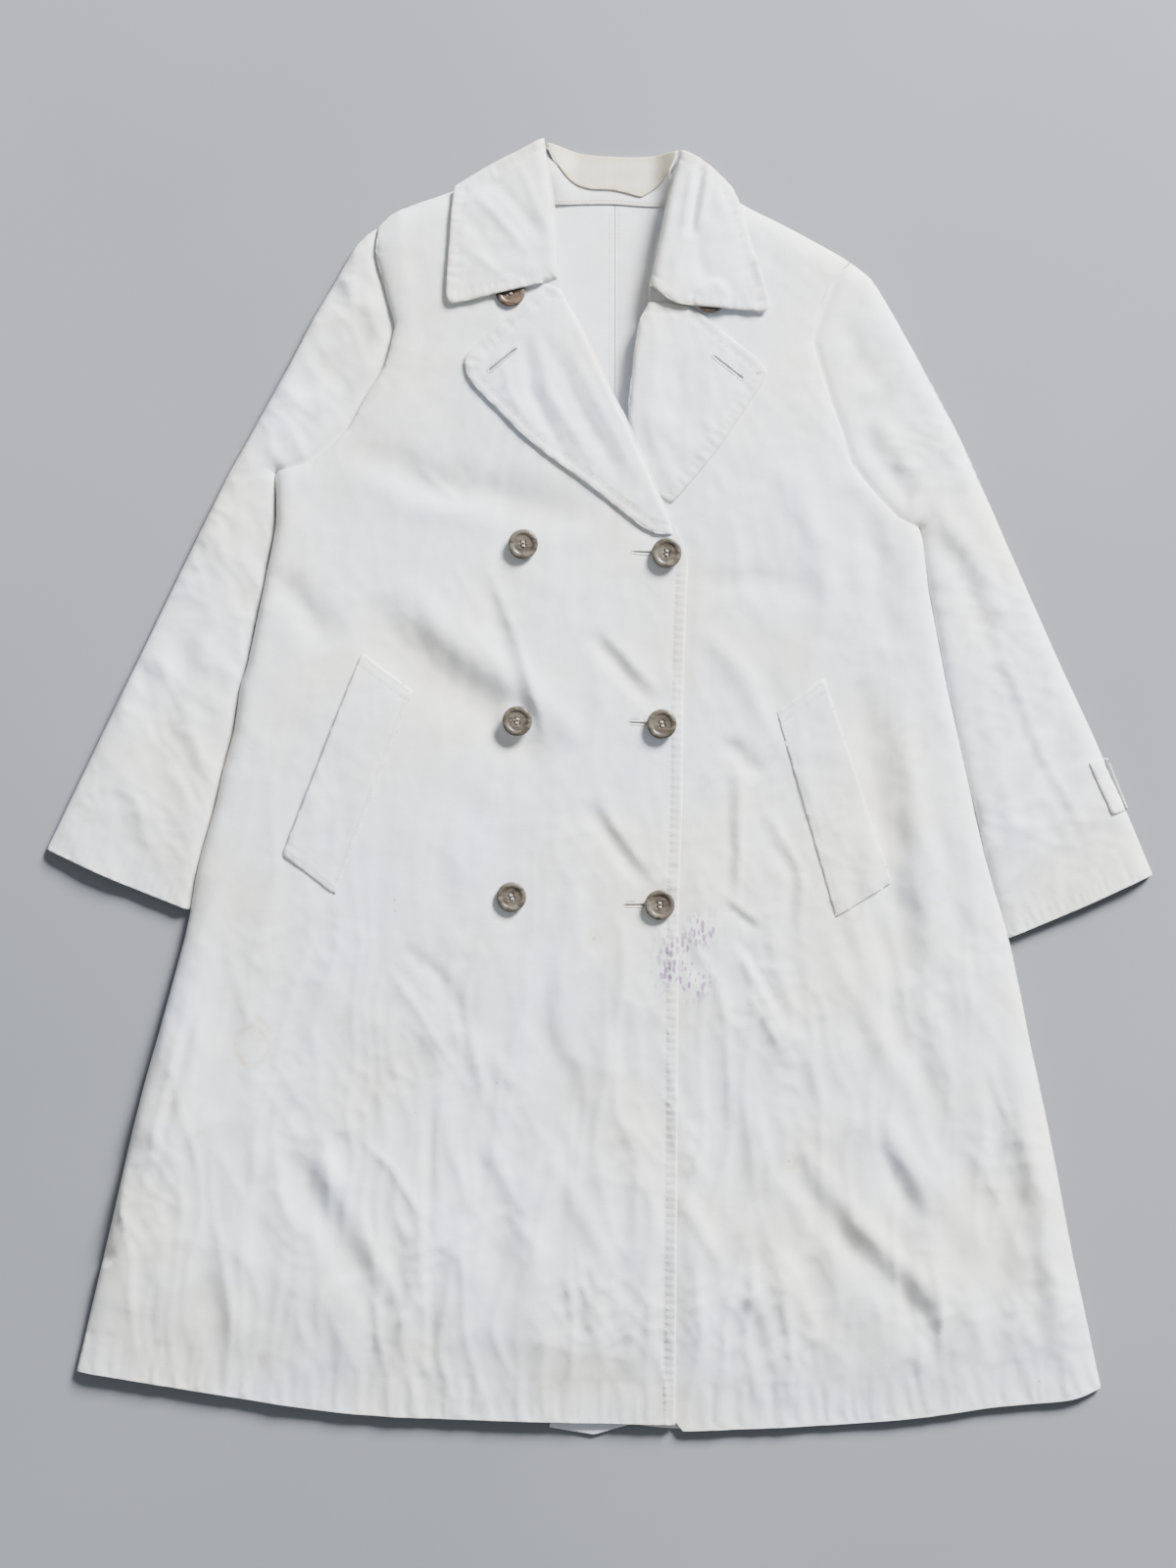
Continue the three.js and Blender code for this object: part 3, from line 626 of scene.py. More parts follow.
def horn_mat(name, dark, lightc, streak):
    """Marbled horn: cloudy bands with darker streaks and a soft polish."""
    m, nt, bs = node_tree(name)
    tc = N(nt, "ShaderNodeTexCoord").outputs["Object"]
    mp = N(nt, "ShaderNodeMapping")
    mp.inputs["Scale"].default_value = (1.0, 2.3, 1.6)
    mp.inputs["Rotation"].default_value = (0.2, 0.1, 0.55)
    nt.links.new(tc, mp.inputs["Vector"])
    n = N(nt, "ShaderNodeTexNoise", i_Scale=70.0, i_Detail=3.0, i_Roughness=0.5, i_Distortion=1.3)
    nt.links.new(mp.outputs[0], n.inputs["Vector"])
    n2 = N(nt, "ShaderNodeTexNoise", i_Scale=210.0, i_Detail=4.0, i_Roughness=0.6, i_Distortion=0.8)
    nt.links.new(mp.outputs[0], n2.inputs["Vector"])
    c = mix_color(nt, ramp(nt, n.outputs[0], 0.34, 0.66), dark, lightc)
    c = mix_color(nt, ramp(nt, n2.outputs[0], 0.50, 0.75, 0.0, 0.45), c, streak)
    nt.links.new(c, bs.inputs["Base Color"])
    nt.links.new(ramp(nt, n2.outputs[0], 0.3, 0.7, 0.24, 0.42), bs.inputs["Roughness"])
    sc = N(nt, "ShaderNodeTexNoise", i_Scale=1500.0, i_Detail=2.0)
    nt.links.new(tc, sc.inputs["Vector"])
    b = N(nt, "ShaderNodeBump", i_Strength=0.12, i_Distance=0.00005)
    nt.links.new(sc.outputs[0], b.inputs["Height"])
    nt.links.new(b.outputs[0], bs.inputs["Normal"])
    bs.inputs["Specular IOR Level"].default_value = 0.35
    bs.inputs["Coat Weight"].default_value = 0.08
    bs.inputs["Coat Roughness"].default_value = 0.2
    return m


SHELL = cotton("coat_cotton_shell", (0.735, 0.765, 0.835), (0.775, 0.755, 0.70), spots=True)
INNER = cotton("coat_cotton_inner", (0.77, 0.775, 0.79), (0.76, 0.75, 0.73), weave=0.5)
CREAM = cotton("coat_cotton_cream", (0.66, 0.62, 0.52), (0.62, 0.57, 0.46), weave=0.45)
THREAD = thread_mat("coat_sewing_thread", (0.62, 0.60, 0.54))
HOLE_THREAD = thread_mat("coat_buttonhole_thread", (0.72, 0.70, 0.63))
BUTTON_THREAD = thread_mat("coat_button_thread", (0.42, 0.38, 0.32))
HORN = horn_mat("coat_horn", (0.052, 0.042, 0.031), (0.125, 0.105, 0.08), (0.022, 0.016, 0.011))
DARK_HORN = horn_mat("coat_dark_horn", (0.05, 0.033, 0.022), (0.13, 0.09, 0.062), (0.022, 0.014, 0.010))


# ------------------------------------------------------------------- relief
# Folds: line, height, width, kind ("r" round; the kind is not read, narrow folds get a sharp crest and wide ones a
# round one)
FOLDS = [
    ([(-213.6, 286), (-153.6, 252.4), (-89.6, 240.4), (-1.6, 218.8)], -2.6, 17, "r"),
    ([(-209.6, 268.4), (-145.6, 232.4), (-73.6, 220.4)], 1.6, 14, "r"),
    ([(-149.6, 264.4), (-113.6, 232.4)], 1.1, 3.4, "r"),
    ([(-200, 154.8), (-137.6, 92.4), (-89.6, 66.8), (-37.6, 8.4)], -3.0, 21, "r"),
    ([(-173.6, 172.4), (-113.6, 116.4), (-57.6, 80.4), (-17.6, 36.4)], 2.6, 16, "r"),
    ([(-89.6, 180.4), (-65.6, 116.4), (-41.6, 32.4)], 1.6, 5.5, "r"),
    ([(-97.6, 176.4), (-75.2, 108.4), (-53.6, 32.4)], -1.3, 7, "r"),
    ([(-265.6, 176.4), (-241.6, 148.4), (-217.6, 116.4)], -2.6, 13, "r"),
    ([(-9.6, 128.4), (22.4, 92.4), (44.8, 66.8)], -1.7, 7, "r"),
    ([(0, 132.4), (32, 97.2), (54.4, 74.8)], 1.2, 6, "r"),
    ([(-13.6, -7.6), (16, -51.6), (38.4, -79.6)], -1.7, 7, "r"),
    ([(-3.2, -5.2), (24, -45.2), (44.8, -72.4)], 1.2, 6, "r"),
    ([(-332.8, -155.6), (-353.6, -243.6), (-372.8, -327.6)], 1.7, 5, "r"),
    ([(-324.8, -155.6), (-345.6, -243.6), (-364.8, -327.6)], -1.3, 6, "r"),
    ([(-417.6, -373.2), (-403.2, -389.2)], -3.4, 10, "r"),
    ([(-261.6, -287.6), (-225.6, -347.6), (-181.6, -431.6)], -2.2, 12, "r"),
    ([(-240, -275.6), (-204.8, -339.6), (-165.6, -419.6)], 1.7, 9, "r"),
    ([(-197.6, -283.6), (-169.6, -307.6), (-144, -351.6)], 1.7, 4.2, "r"),
    ([(-143.2, -231.6), (-145.6, -355.6), (-142.4, -507.6)], 1.2, 3.6, "r"),
    ([(-136.8, -231.6), (-139.2, -355.6), (-135.2, -507.6)], -1.0, 5.5, "r"),
    ([(-180.8, -299.6), (-183.2, -395.6), (-179.2, -507.6)], 0.9, 4.5, "r"),
    ([(-173.6, -143.6), (-145.6, -183.6), (-120, -227.6)], 1.5, 6, "r"),
    ([(-161.6, -127.6), (-128, -155.6), (-112, -197.2)], -1.5, 7, "r"),
    ([(-113.6, -251.6), (-73.6, -323.6), (-41.6, -419.6)], 1.3, 10, "r"),
    ([(-65.6, -171.6), (-25.6, -235.6), (-1.6, -315.6)], -1.4, 12, "r"),
    ([(-297.6, -315.6), (-309.6, -387.6), (-297.6, -467.6)], 1.5, 9, "r"),
    ([(-41.6, -299.6), (6.4, -379.6), (30.4, -475.6)], 1.2, 9, "r"),
    ([(112.8, 16.4), (114.4, -35.6), (112, -95.6)], 2.4, 4.5, "r"),
    ([(104.8, 12.4), (105.6, -35.6), (104, -87.6)], -1.7, 6, "r"),
    ([(104, 40.4), (118.4, 24.4), (130.4, 8.4)], -2.2, 8, "r"),
    ([(136.8, -18), (166.4, -67.6), (162.4, -127.6)], 1.8, 4.6, "r"),
    ([(130.4, -26), (156.8, -71.6), (152.8, -123.6)], -1.4, 6, "r"),
    ([(100.8, -93.2), (131.2, -117.2)], -1.6, 4.6, "r"),
    ([(104, -88.4), (134.4, -110.8)], 1.2, 4, "r"),
    ([(70.4, -111.6), (94.4, -155.6), (103.2, -191.6)], 1.5, 4.2, "r"),
    ([(106.4, -122), (126.4, -155.6), (142.4, -189.2)], 1.6, 4.4, "r"),
    ([(112, -117.2), (133.6, -154), (149.6, -187.6)], -1.3, 5, "r"),
    ([(118.4, -163.6), (136, -189.2), (152, -214.8)], 1.3, 4.2, "r"),
    ([(100.8, -143.6), (105.6, -243.6), (102.4, -365.2)], 0.9, 2.8, "r"),
    ([(60.8, -322), (82.4, -359.6), (104, -397.2)], 1.5, 7, "r"),
    ([(164.8, -290), (206.4, -347.6), (270.4, -411.6), (296, -469.2)], 1.9, 9, "r"),
    ([(150.4, -301.2), (192, -360.4), (256, -426), (280, -477.2)], -2.0, 11, "r"),
    ([(232.8, -266), (270.4, -349.2)], 1.6, 8, "r"),
    ([(219.2, -272.4), (257.6, -357.2)], -1.5, 9, "r"),
    ([(214.4, 88.4), (234.4, -35.6), (252, -159.6)], -3.0, 14, "r"),
    ([(242.4, 92.4), (260.8, -35.6), (276.8, -159.6)], 2.1, 12, "r"),
    ([(340.8, -231.6), (360, -347.6), (384, -479.6)], 2.2, 11, "r"),
    ([(320, -235.6), (339.2, -351.6), (361.6, -483.6)], -2.0, 12, "r"),
    ([(234.4, -163.6), (278.4, -251.6), (310.4, -355.6)], -1.6, 14, "r"),
    ([(190.4, -131.6), (230.4, -203.6), (258.4, -267.6)], 1.4, 10, "r"),
    ([(118.4, -387.6), (142.4, -451.6), (150.4, -507.6)], 1.3, 8, "r"),
    ([(206.4, 244.4), (230.4, 180.4), (234.4, 116.4)], -1.8, 12, "r"),
    ([(150.4, 268.4), (182.4, 196.4), (190.4, 124.4)], 1.5, 12, "r"),
    ([(82.4, 132.4), (118.4, 92.4), (142.4, 36.4)], 1.4, 9, "r"),
    ([(74.4, 164.4), (126.4, 172.4), (190.4, 156.4)], -1.2, 12, "r"),
]
CALM = BTN_L + BTN_R + HOLES + [(35.2, 193.6), (32, 54.4), (28.8, -94.4), (-72.8, 405.2), (90.4, 400.4)]
HEM_ALL = HEM_RIGHT[::-1][:-1] + HEM_LEFT[4:] if False else None
HEM_LINE = [(-428.8, -477.2), (-332, -493.2), (-234.4, -508.4), (-175.2, -514), (-116, -516.4), (-41.6, -518.8), (61.6, -521.2), (68, -525.2), (165.6, -522), (254.4, -515.6), (325.6, -506), (384.8, -500.4), (411.2, -491.6)]


def relief(x, y):
    h = np.zeros(x.shape)
    for line, amp, w, kind in FOLDS:
        ln = np.asarray(line, float)
        x0, y0 = ln.min(0) - 3.2 * w
        x1, y1 = ln.max(0) + 3.2 * w
        k = (x > x0) & (x < x1) & (y > y0) & (y < y1)
        if not k.any():
            continue
        wob = noise(x[k] / 34.0, y[k] / 34.0, 7) * w * 0.35
        d, t = dist(x[k] + wob, y[k] - wob * 0.6, resample(ln, 18))
        ends = np.clip(np.minimum(t, 1 - t) * 3.6, 0, 1) ** 0.7
        if w <= 6.5:
            h[k] += 0.85 * amp * np.exp(-d / (w * 0.95)) * ends
        else:
            h[k] += 0.95 * amp * np.exp(-(d / w) ** 2) * ends
    low_part = smooth((60.0 - y) / 420.0)
    # long soft folds that hang from the chest to the hem
    lean = x * 0.16 * smooth((200 - y) / 500.0)
    u = x - lean * 0.6
    h += 1.25 * noise(x / 105.0, y / 170.0, 11)
    h += (0.25 + 0.75 * low_part) * 1.25 * noise(u / 30.0 + 0.4 * noise(x / 60, y / 90, 3), y / 190.0, 12)
    h += (0.20 + 0.80 * low_part) * 0.95 * (ridged(u / 23.0 + 0.5 * noise(x / 40, y / 80, 4), y / 150.0, 13) - 0.2)
    # pressed-in creases fan out down the skirt, and break off in patches
    ax, ay = (0, 580.4)
    th = np.arctan2(x - ax, ay - y)
    rr = np.hypot(x - ax, y - ay)
    for k, (lam, amp, seed, tilt) in enumerate(((30.0, 1.5, 201, 0.00), (47.0, 1.8, 202, 0.30), (38.0, 1.3, 203, -0.26), (24.0, 0.8, 204, 0.10))):
        u = th * 620.0 + tilt * (rr - 500.0) + 15.0 * noise(x / 120.0, y / 120.0, seed)
        t = u / lam
        tri = 1 - 2 * np.abs(t - np.round(t))
        m = smooth(noise(x / 62.0, y / 120.0, seed + 30) * 2.0 + 0.05)
        h += amp * m * (0.16 + 0.84 * low_part) * (tri ** 1.4 - 0.36)
    for k, (ang, lam, amp, seed) in enumerate(((38.0, 66.0, 1.0, 211), (-52.0, 58.0, 0.9, 212), (74.0, 74.0, 0.9, 213))):
        u, v = rot(x, y, ang)
        t = (u + 13.0 * noise(x / 100.0, y / 100.0, seed)) / lam
        tri = 1 - 2 * np.abs(t - np.round(t))
        m = smooth(noise(x / 85.0, y / 85.0, seed + 30) * 2.0 - 0.1)
        h += amp * m * (0.45 + 0.55 * low_part) * (tri ** 1.6 - 0.3)
    # crumples come in patches
    patch = smooth(noise(x / 95.0, y / 95.0, 15) * 1.3 + 0.35)
    cx, cy = (130.4, -91.6)
    patch = np.clip(patch + 0.9 * np.exp(-(((x - cx) / 85.0) ** 2 + ((y - cy) / 150.0) ** 2)), 0, 1.3)
    u, v = rot(x, y, 24)
    r = ridged(u / 48.0 + 0.7 * noise(x / 50, y / 50, 5), v / 22.0, 21)
    h += (0.14 + 0.28 * low_part) * patch * (r - 0.2)
    u, v = rot(x, y, -58)
    r = ridged(u / 52.0 + 0.6 * noise(x / 33, y / 33, 6), v / 19.0, 33)
    h += (0.14 + 0.32 * low_part) * patch * (r - 0.2)
    h += (0.07 + 0.11 * patch) * noise(x / 13.0, y / 15.0, 41) + 0.035 * noise(x / 6.6, y / 7.4, 43)
    calm = np.ones(x.shape)
    for bx, by in CALM:
        d = np.hypot(x - bx, y - by)
        calm *= 0.12 + 0.88 * smooth((d - 6.0) / 16.0)
    return h * calm


def envelope(x, y):
    """0 at the coat's free edges, 1 well inside the body."""
    hi = smooth((y + 110.0) / 60.0)
    w = 22.0 - 9.0 * hi
    e = quarter(dist(x, y, RIGHT_SIDE)[0], w) * quarter(dist(x, y, LEFT_SIDE)[0], w)
    e *= 0.10 + 0.90 * quarter(dist(x, y, RIGHT_SHOULDER)[0], 20)
    e *= 0.10 + 0.90 * quarter(dist(x, y, LEFT_SHOULDER)[0], 20)
    e *= 0.60 + 0.40 * quarter(dist(x, y, RIGHT_ARM)[0], 18)
    e *= 0.72 + 0.28 * quarter(dist(x, y, LEFT_ARM)[0], 14)
    dh = dist(x, y, HEM_LINE)[0]
    e *= 0.24 + 0.76 * smooth(dh / 105.0) ** 0.8
    return e


def side_lift(x, y):
    """Height of the folded side edges: they stand up beside the sleeves."""
    d = np.minimum(dist(x, y, RIGHT_SIDE)[0], dist(x, y, LEFT_SIDE)[0])
    return 2.3 + 3.0 * smooth((y + 110.0) / 60.0) * (1 - smooth((d - 12.0) / 30.0))


def pucker(x, y):
    """Hem puckers and the calm weight of the folded hem."""
    d, t = dist(x, y, HEM_LINE)
    s = t * 850.0
    win = smooth(d / 5.0) * (1 - smooth((d - 30.0) / 12.0))
    h = win * (1.25 * noise(s / 9.5, d / 60.0, 51) + 0.6 * noise(s / 5.0, d / 40.0, 52))
    h -= 0.12 * np.exp(-((d - 34.0) / 2.2) ** 2)
    return h


def z_base(x, y):
    e = envelope(x, y)
    lift = side_lift(x, y)
    return lift + (13.1 - lift) * e + 1.7 * relief(x, y) * np.clip(e * 1.25, 0, 1) + pucker(x, y) * 0.9


def z_left(x, y):
    z = z_base(x, y)
    d, t = dist(x, y, ROLL_LEFT)
    return np.maximum(z, 1.95) - 1.0 * (1 - quarter(d, 4.0))


def front_edge_work(x, y):
    """The topstitched band along the front edge: a groove and small cross puckers."""
    d, t = dist(x, y, FRONT_EDGE)
    s = t * 700.0
    win = smooth(d / 1.5) * (1 - smooth((d - 8.6) / 2.0))
    h = win * 0.24 * np.sin(2 * math.pi * (s + 2.2 * noise(s / 30.0, d * 0 + 2.0, 61)) / 6.4) * smooth(np.minimum(s, 690 - s) / 12)
    h -= 0.42 * np.exp(-((d - 8.9) / 1.15) ** 2)
    h += 0.30 * win
    h -= 1.1 * (1 - quarter(d, 2.2))
    return h


def z_right(x, y):
    e = envelope(x, y)
    z = z_base(x, y) + 1.45 + 1.55 * e
    dr, _ = dist(x, y, ROLL_RIGHT)
    return np.maximum(z, 1.95) + front_edge_work(x, y)


# Painted shade: a mask that rises in the valleys of the relief, used to darken them
def valleys(fn, k=0.22):
    def f(x, y):
        r = fn(x, y)
        return np.clip(-r * k + 0.10 * noise(x / 45.0, y / 60.0, 77), 0, 0.9)
    return f


def calm_edge_paint(edge, k=0.30, w=2.2, extra=None, low=None):
    line = np.vstack([edge, edge[:1]])
    def paint(x, y):
        d = dist(x, y, resample(line, 6))[0]
        a = np.zeros((len(x), 3))
        a[:, 0] = k * np.exp(-d / w)
        if extra is not None:
            a = np.maximum(a, extra(x, y))
        # the third mask, when given, is painted shade in the fold valleys
        if low is not None:
            a[:, 2] = low(x, y)
        return a
    return paint


RINGS = [((-284, -210), 13.5, 0.49), ((-276.8, -195.6), 7.0, 0.38), ((-165.6, -195.6), 44.0, 0.23), ((-41.6, -469.2), 17.0, 0.23), ((4.8, -419.6), 10.0, 0.23), ((106.4, -307.6), 30.0, 0.25), ((122.4, -51.6), 62.0, 0.22),
         ((254.4, 36.4), 13.0, 0.26), ((204.8, -95.6), 9.0, 0.35), ((274.4, -79.6), 11.0, 0.26), ((154.4, -303.6), 6.0, 0.41), ((-4.8, -122), 5.0, 0.41)]
INK = [((65.6, -135.6), 17.0), ((57.6, -152.4), 12.0), ((83.2, -115.6), 12.0), ((75.2, -157.2), 13.0)]


def body_marks(x, y):
    a = np.zeros((len(x), 3))
    for (cx, cy), r, k in RINGS:
        wob = 1 + 0.16 * noise(x / 11.0, y / 11.0, 71)
        d = np.hypot(x - cx, (y - cy) * 0.85) * wob
        a[:, 0] = np.maximum(a[:, 0], k * np.exp(-((d - r) / 1.7) ** 2) + k * 0.22 * (d < r))
    d, t = dist(x, y, FRONT_EDGE)
    a[:, 0] = np.maximum(a[:, 0], 0.16 * (1 - smooth((d - 8.0) / 1.5)) * (1 + 0.5 * noise(x / 6.0, y / 9.0, 72)))
    for (cx, cy), r in INK:
        a[:, 1] = np.maximum(a[:, 1], np.exp(-((x - cx) ** 2 + (y - cy) ** 2) / (r * r)))
    return a


# ------------------------------------------------------------------ outlines, made smooth
C = lambda pts, step=2.6: curve(pts, step)
right_side = C(RIGHT_SIDE)
left_side = C(LEFT_SIDE)
right_arm = curve(RIGHT_ARM, 2.6, 70)
left_arm = curve(LEFT_ARM, 2.6, 70)
right_sh = C(RIGHT_SHOULDER)
left_sh = C(LEFT_SHOULDER)
front_edge = C(FRONT_EDGE)
hem_right = C(HEM_RIGHT)
roll_right = C(ROLL_RIGHT)


def quad_point(q, s, t):
    a, b, c, d = [np.asarray(p, float) for p in q]
    return (a * (1 - s) + b * s) * (1 - t) + (d * (1 - s) + c * s) * t


def quad_patch(q, s0, s1, t0, t1):
    return np.array([quad_point(q, s0, t0), quad_point(q, s1, t0), quad_point(q, s1, t1), quad_point(q, s0, t1)])


def slit(a, b, half=0.5, eye=2.1):
    """A worked buttonhole: a long narrow opening that widens where the shank stands."""
    a, b = np.asarray(a, float), np.asarray(b, float)
    d = b - a
    l = np.hypot(*d)
    d /= l
    n = np.array([-d[1], d[0]])
    out, back = [], []
    for s in np.linspace(0, l, 15):
        w = half * (0.35 + 0.65 * math.sin(math.pi * min(1, (s / l) * 1.2 + 0.08)) ** 0.5)
        if eye:
            w = max(half * 0.5 if s < 1 else half, math.sqrt(max(0.0, eye * eye - (s - (l - eye - 0.4)) ** 2)) if abs(s - (l - eye - 0.4)) < eye else 0)
        elif s < 0.5 or s > l - 0.5:
            w = half * 0.4
        out.append(a + d * s + n * w)
        back.append(a + d * s - n * w)
    return np.array(out + back[::-1])


R_SLITS = [slit(h, (b[0] + 2.2, b[1]), 0.55, 2.3) for h, b in zip(HOLES, BTN_R)]
R_MOUTH = quad_patch(R_WELT, 0.50, 0.78, 0.08, 0.92)
L_MOUTH = quad_patch(L_WELT, 0.50, 0.78, 0.08, 0.92)
ta, tb = np.array(TURN_A, float), np.array(TURN_B, float)
tn = np.array([-(tb - ta)[1], (tb - ta)[0]])
tn /= np.hypot(*tn)
if tn @ (np.array((22.4, -459.6)) - ta) < 0:
    tn = -tn


def corner_blend(ob, w=11.0):
    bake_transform(ob)


# -------------------------------------------------------------------- fronts
right_front_line = ring(roll_right, front_edge[1:], hem_right[1:], right_side[1:], right_arm[1:], right_sh[1:], C(NECK_RIGHT)[1:-1])
inner_edge = shift(front_edge, 0)
band_line = shift(front_edge, -8.8)
right_front = cloth("right_front_cloth", right_front_line, z_right, thick=0.9, spacing=3.3, rows=(0.7, 1.8, 3.4, 5.2, 8.0, 11.5),
                    lines=[band_line], holes=[*R_SLITS, R_MOUTH], mat=SHELL,
                    paint=calm_edge_paint(right_front_line, 0.22, 2.2, body_marks, valleys(relief)), rests=["left_front_cloth"])
corner_blend(right_front)
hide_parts("right_front_panel", "right_front_corner", "right_side_seam", "right_shoulder_seam")

left_front_line = ring(C(ROLL_LEFT), C([(-71.2, 164.4), (-71.2, -155.6), (-71.2, -515.6)], 4)[1:], C(HEM_LEFT)[1:], left_side[1:], left_arm[1:], C(LEFT_SHOULDER)[1:])
left_front = cloth("left_front_cloth", left_front_line, z_left, thick=0.9, spacing=3.3, rows=(0.7, 1.8, 3.4, 5.2, 8.0, 11.5),
                   holes=[L_MOUTH], mat=SHELL, paint=calm_edge_paint(left_front_line, 0.2, 2.2, body_marks, valleys(relief)), rests=["back_left_cloth"])
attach(left_front, "root")
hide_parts("left_front_panel", "left_side_seam", "left_shoulder_seam")


# facings and hems lie against the inside of each front
def under(zfun, drop):
    return lambda x, y: np.maximum(zfun(x, y) - drop, 0.9)


rf_line = ring(C([(64.8, 198.8), (71.2, 186), (68.8, 124.4), (67.2, 66), (66.4, -14), (63.2, -121.2), (62.4, -235.6), (60, -517.2)], 4), C([(60, -517.2), (-7.2, -514.8)], 4)[1:], C([(-7.2, -514.8), (-7.2, -238.8), (-7.2, 199.6)], 5)[1:])
slots_f = [slit(h, (b[0] + 2.2, b[1]), 0.8, 2.6) for h, b in zip(HOLES, BTN_R)]
right_facing = cloth("right_facing_cloth", rf_line, under(z_right, 1.15), thick=0.8, spacing=4.6, rows=(0.8, 3.0), holes=slots_f, mat=INNER, rests=["left_front_cloth"])
corner_blend(right_facing)
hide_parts("right_front_facing", "right_corner_facing")

rh_line = ring(C([(-417.6, -475.6), (-332, -489.2), (-234.4, -504.4), (-177.6, -510), (-116, -512.4), (-41.6, -514.8), (-8.8, -514.8)], 4), C([(-8.8, -514.8), (-8.8, -485.2), (-41.6, -485.2), (-116, -482.8), (-158.4, -480.4), (-234.4, -474.8), (-332, -459.6), (-409.6, -446)], 4)[1:])
right_hem = cloth("right_front_hem_cloth", rh_line, under(z_right, 1.15), thick=0.8, spacing=4.6, rows=(0.8, 3.0), mat=INNER, rests=["left_front_cloth"])
corner_blend(right_hem)
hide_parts("right_front_hem")

lf_line = ring(C([(-64, 182), (-4.8, 206.8), (24, 208.4)], 4), C([(24, 208.4), (24, -512.4)], 5)[1:], C([(24, -512.4), (-68.8, -510.8)], 5)[1:], C([(-68.8, -510.8), (-68.8, 164.4)], 5)[1:])
left_facing = cloth("left_facing_cloth", lf_line, under(z_left, 1.1), thick=0.8, spacing=6.0, rows=(0.8,), mat=INNER, rests=["back_right_cloth"])
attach(left_facing, "root")
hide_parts("left_front_facing")

lh_line = ring(C([(30.4, -513.2), (68, -521.2), (165.6, -518), (254.4, -511.6), (325.6, -502), (384.8, -496.4), (401.6, -490)], 4), C([(401.6, -490), (395.2, -461.2), (378.4, -466.8), (325.6, -473.2), (254.4, -482), (165.6, -488.4), (68, -491.6), (30.4, -483.6)], 4)[1:])
left_hem = cloth("left_front_hem_cloth", lh_line, under(z_left, 1.1), thick=0.8, spacing=5.0, rows=(0.8, 3.0), mat=INNER, rests=["back_left_cloth"])
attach(left_hem, "root")
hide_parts("left_front_hem")

# ---------------------------------------------------------------------- back
NECK_B_R = [(-44.8, 522.8), (-37.6, 510.8), (-25.6, 497.2), (-9.6, 490.8), (12, 489.2)]
NECK_B_L = [(12, 489.2), (34.4, 483.6), (51.2, 494), (60.8, 508.4), (66.4, 519.6)]


def seam_strip(x, y):
    cx = (12, 644.4)[0]
    return 0.16 * np.exp(-((np.abs(x - cx) - 6.5) / 1.3) ** 2)


def z_back(x, y):
    n = 0.28 * noise(x / 60.0, y / 75.0, 91) + 0.16 * ridged(x / 40.0, y / 26.0, 92)
    d = np.minimum(dist(x, y, RIGHT_SIDE)[0], dist(x, y, LEFT_SIDE)[0])
    up = (side_lift(x, y) - 2.05) * (1 - quarter(d, 8.0))
    return 0.62 + np.clip(n, -0.12, 0.26) + seam_strip(x, y) * 0.6 + up


back_r_line = ring(C([(-428.8, -477.2), (-332, -493.2), (-234.4, -508.4), (-175.2, -514), (-116, -516.4), (-41.6, -518.8), (12, -519.6)], 4), C([(12, -519.6), (12, -11.6), (12, 489.2)], 4)[1:], C(NECK_B_R, 3)[::-1][1:], C(RIGHT_SHOULDER, 3)[::-1][1:], curve(RIGHT_ARM, 3, 70)[::-1][1:], C(RIGHT_SIDE, 3)[::-1][1:-1])
back_right = cloth("back_right_cloth", back_r_line, z_back, thick=0.8, spacing=5.2, rows=(0.8, 2.2, 4.2, 6.6), mat=SHELL)
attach(back_right, "root")
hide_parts("back_right_panel")
back_l_line = ring(C([(12.32, -519.6), (68, -525.2), (165.6, -522), (254.4, -515.6), (325.6, -506), (384.8, -500.4), (411.2, -491.6)], 4), C(LEFT_SIDE, 3)[1:], curve(LEFT_ARM, 3, 70)[1:], C(LEFT_SHOULDER, 3)[1:], C(NECK_B_L, 3)[::-1][1:-1], C([(12.32, 489.2), (12.32, -11.6), (12.32, -515.6)], 4))
back_left = cloth("back_left_cloth", back_l_line, z_back, thick=0.8, spacing=5.2, rows=(0.8, 2.2, 4.2, 6.6), mat=SHELL)
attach(back_left, "root")
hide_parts("back_left_panel")

z_in = lambda x, y: z_back(x, y) + 1.15
vent = cloth("back_vent_cloth", ring(resample([(-9.6, -227.6), (41.6, -227.6), (44.8, -515.6), (-4.8, -530), (-42.4, -523.6), (-31.2, -507.6), (-9.6, -227.6)], 3.6)[:-1]), z_in, thick=0.8, spacing=5, rows=(0.8,), mat=SHELL)
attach(vent, "root")
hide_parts("back_vent_underlap")
bh_r = cloth("back_right_hem_cloth", ring(C([(-422.4, -474.8), (-332, -489.2), (-234.4, -504.4), (-175.2, -510), (-116, -512.4), (-45.6, -514.8)], 4), C([(-45.6, -514.8), (-45.6, -485.2), (-116, -482.8), (-175.2, -480.4), (-234.4, -474.8), (-332, -459.6), (-416, -446)], 4)[1:]), z_in, thick=0.8, spacing=5, rows=(0.8,), mat=INNER)
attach(bh_r, "root")
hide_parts("back_right_hem")
bh_l = cloth("back_left_hem_cloth", ring(C([(54.4, -519.6), (68, -521.2), (165.6, -518), (254.4, -511.6), (325.6, -502), (384.8, -496.4), (403.2, -490)], 4), C([(403.2, -490), (396.8, -461.2), (378.4, -466.8), (325.6, -473.2), (254.4, -482), (165.6, -488.4), (68, -491.6), (54.4, -490.8)], 4)[1:]), z_in, thick=0.8, spacing=5, rows=(0.8,), mat=INNER)
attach(bh_l, "root")
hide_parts("back_left_hem")

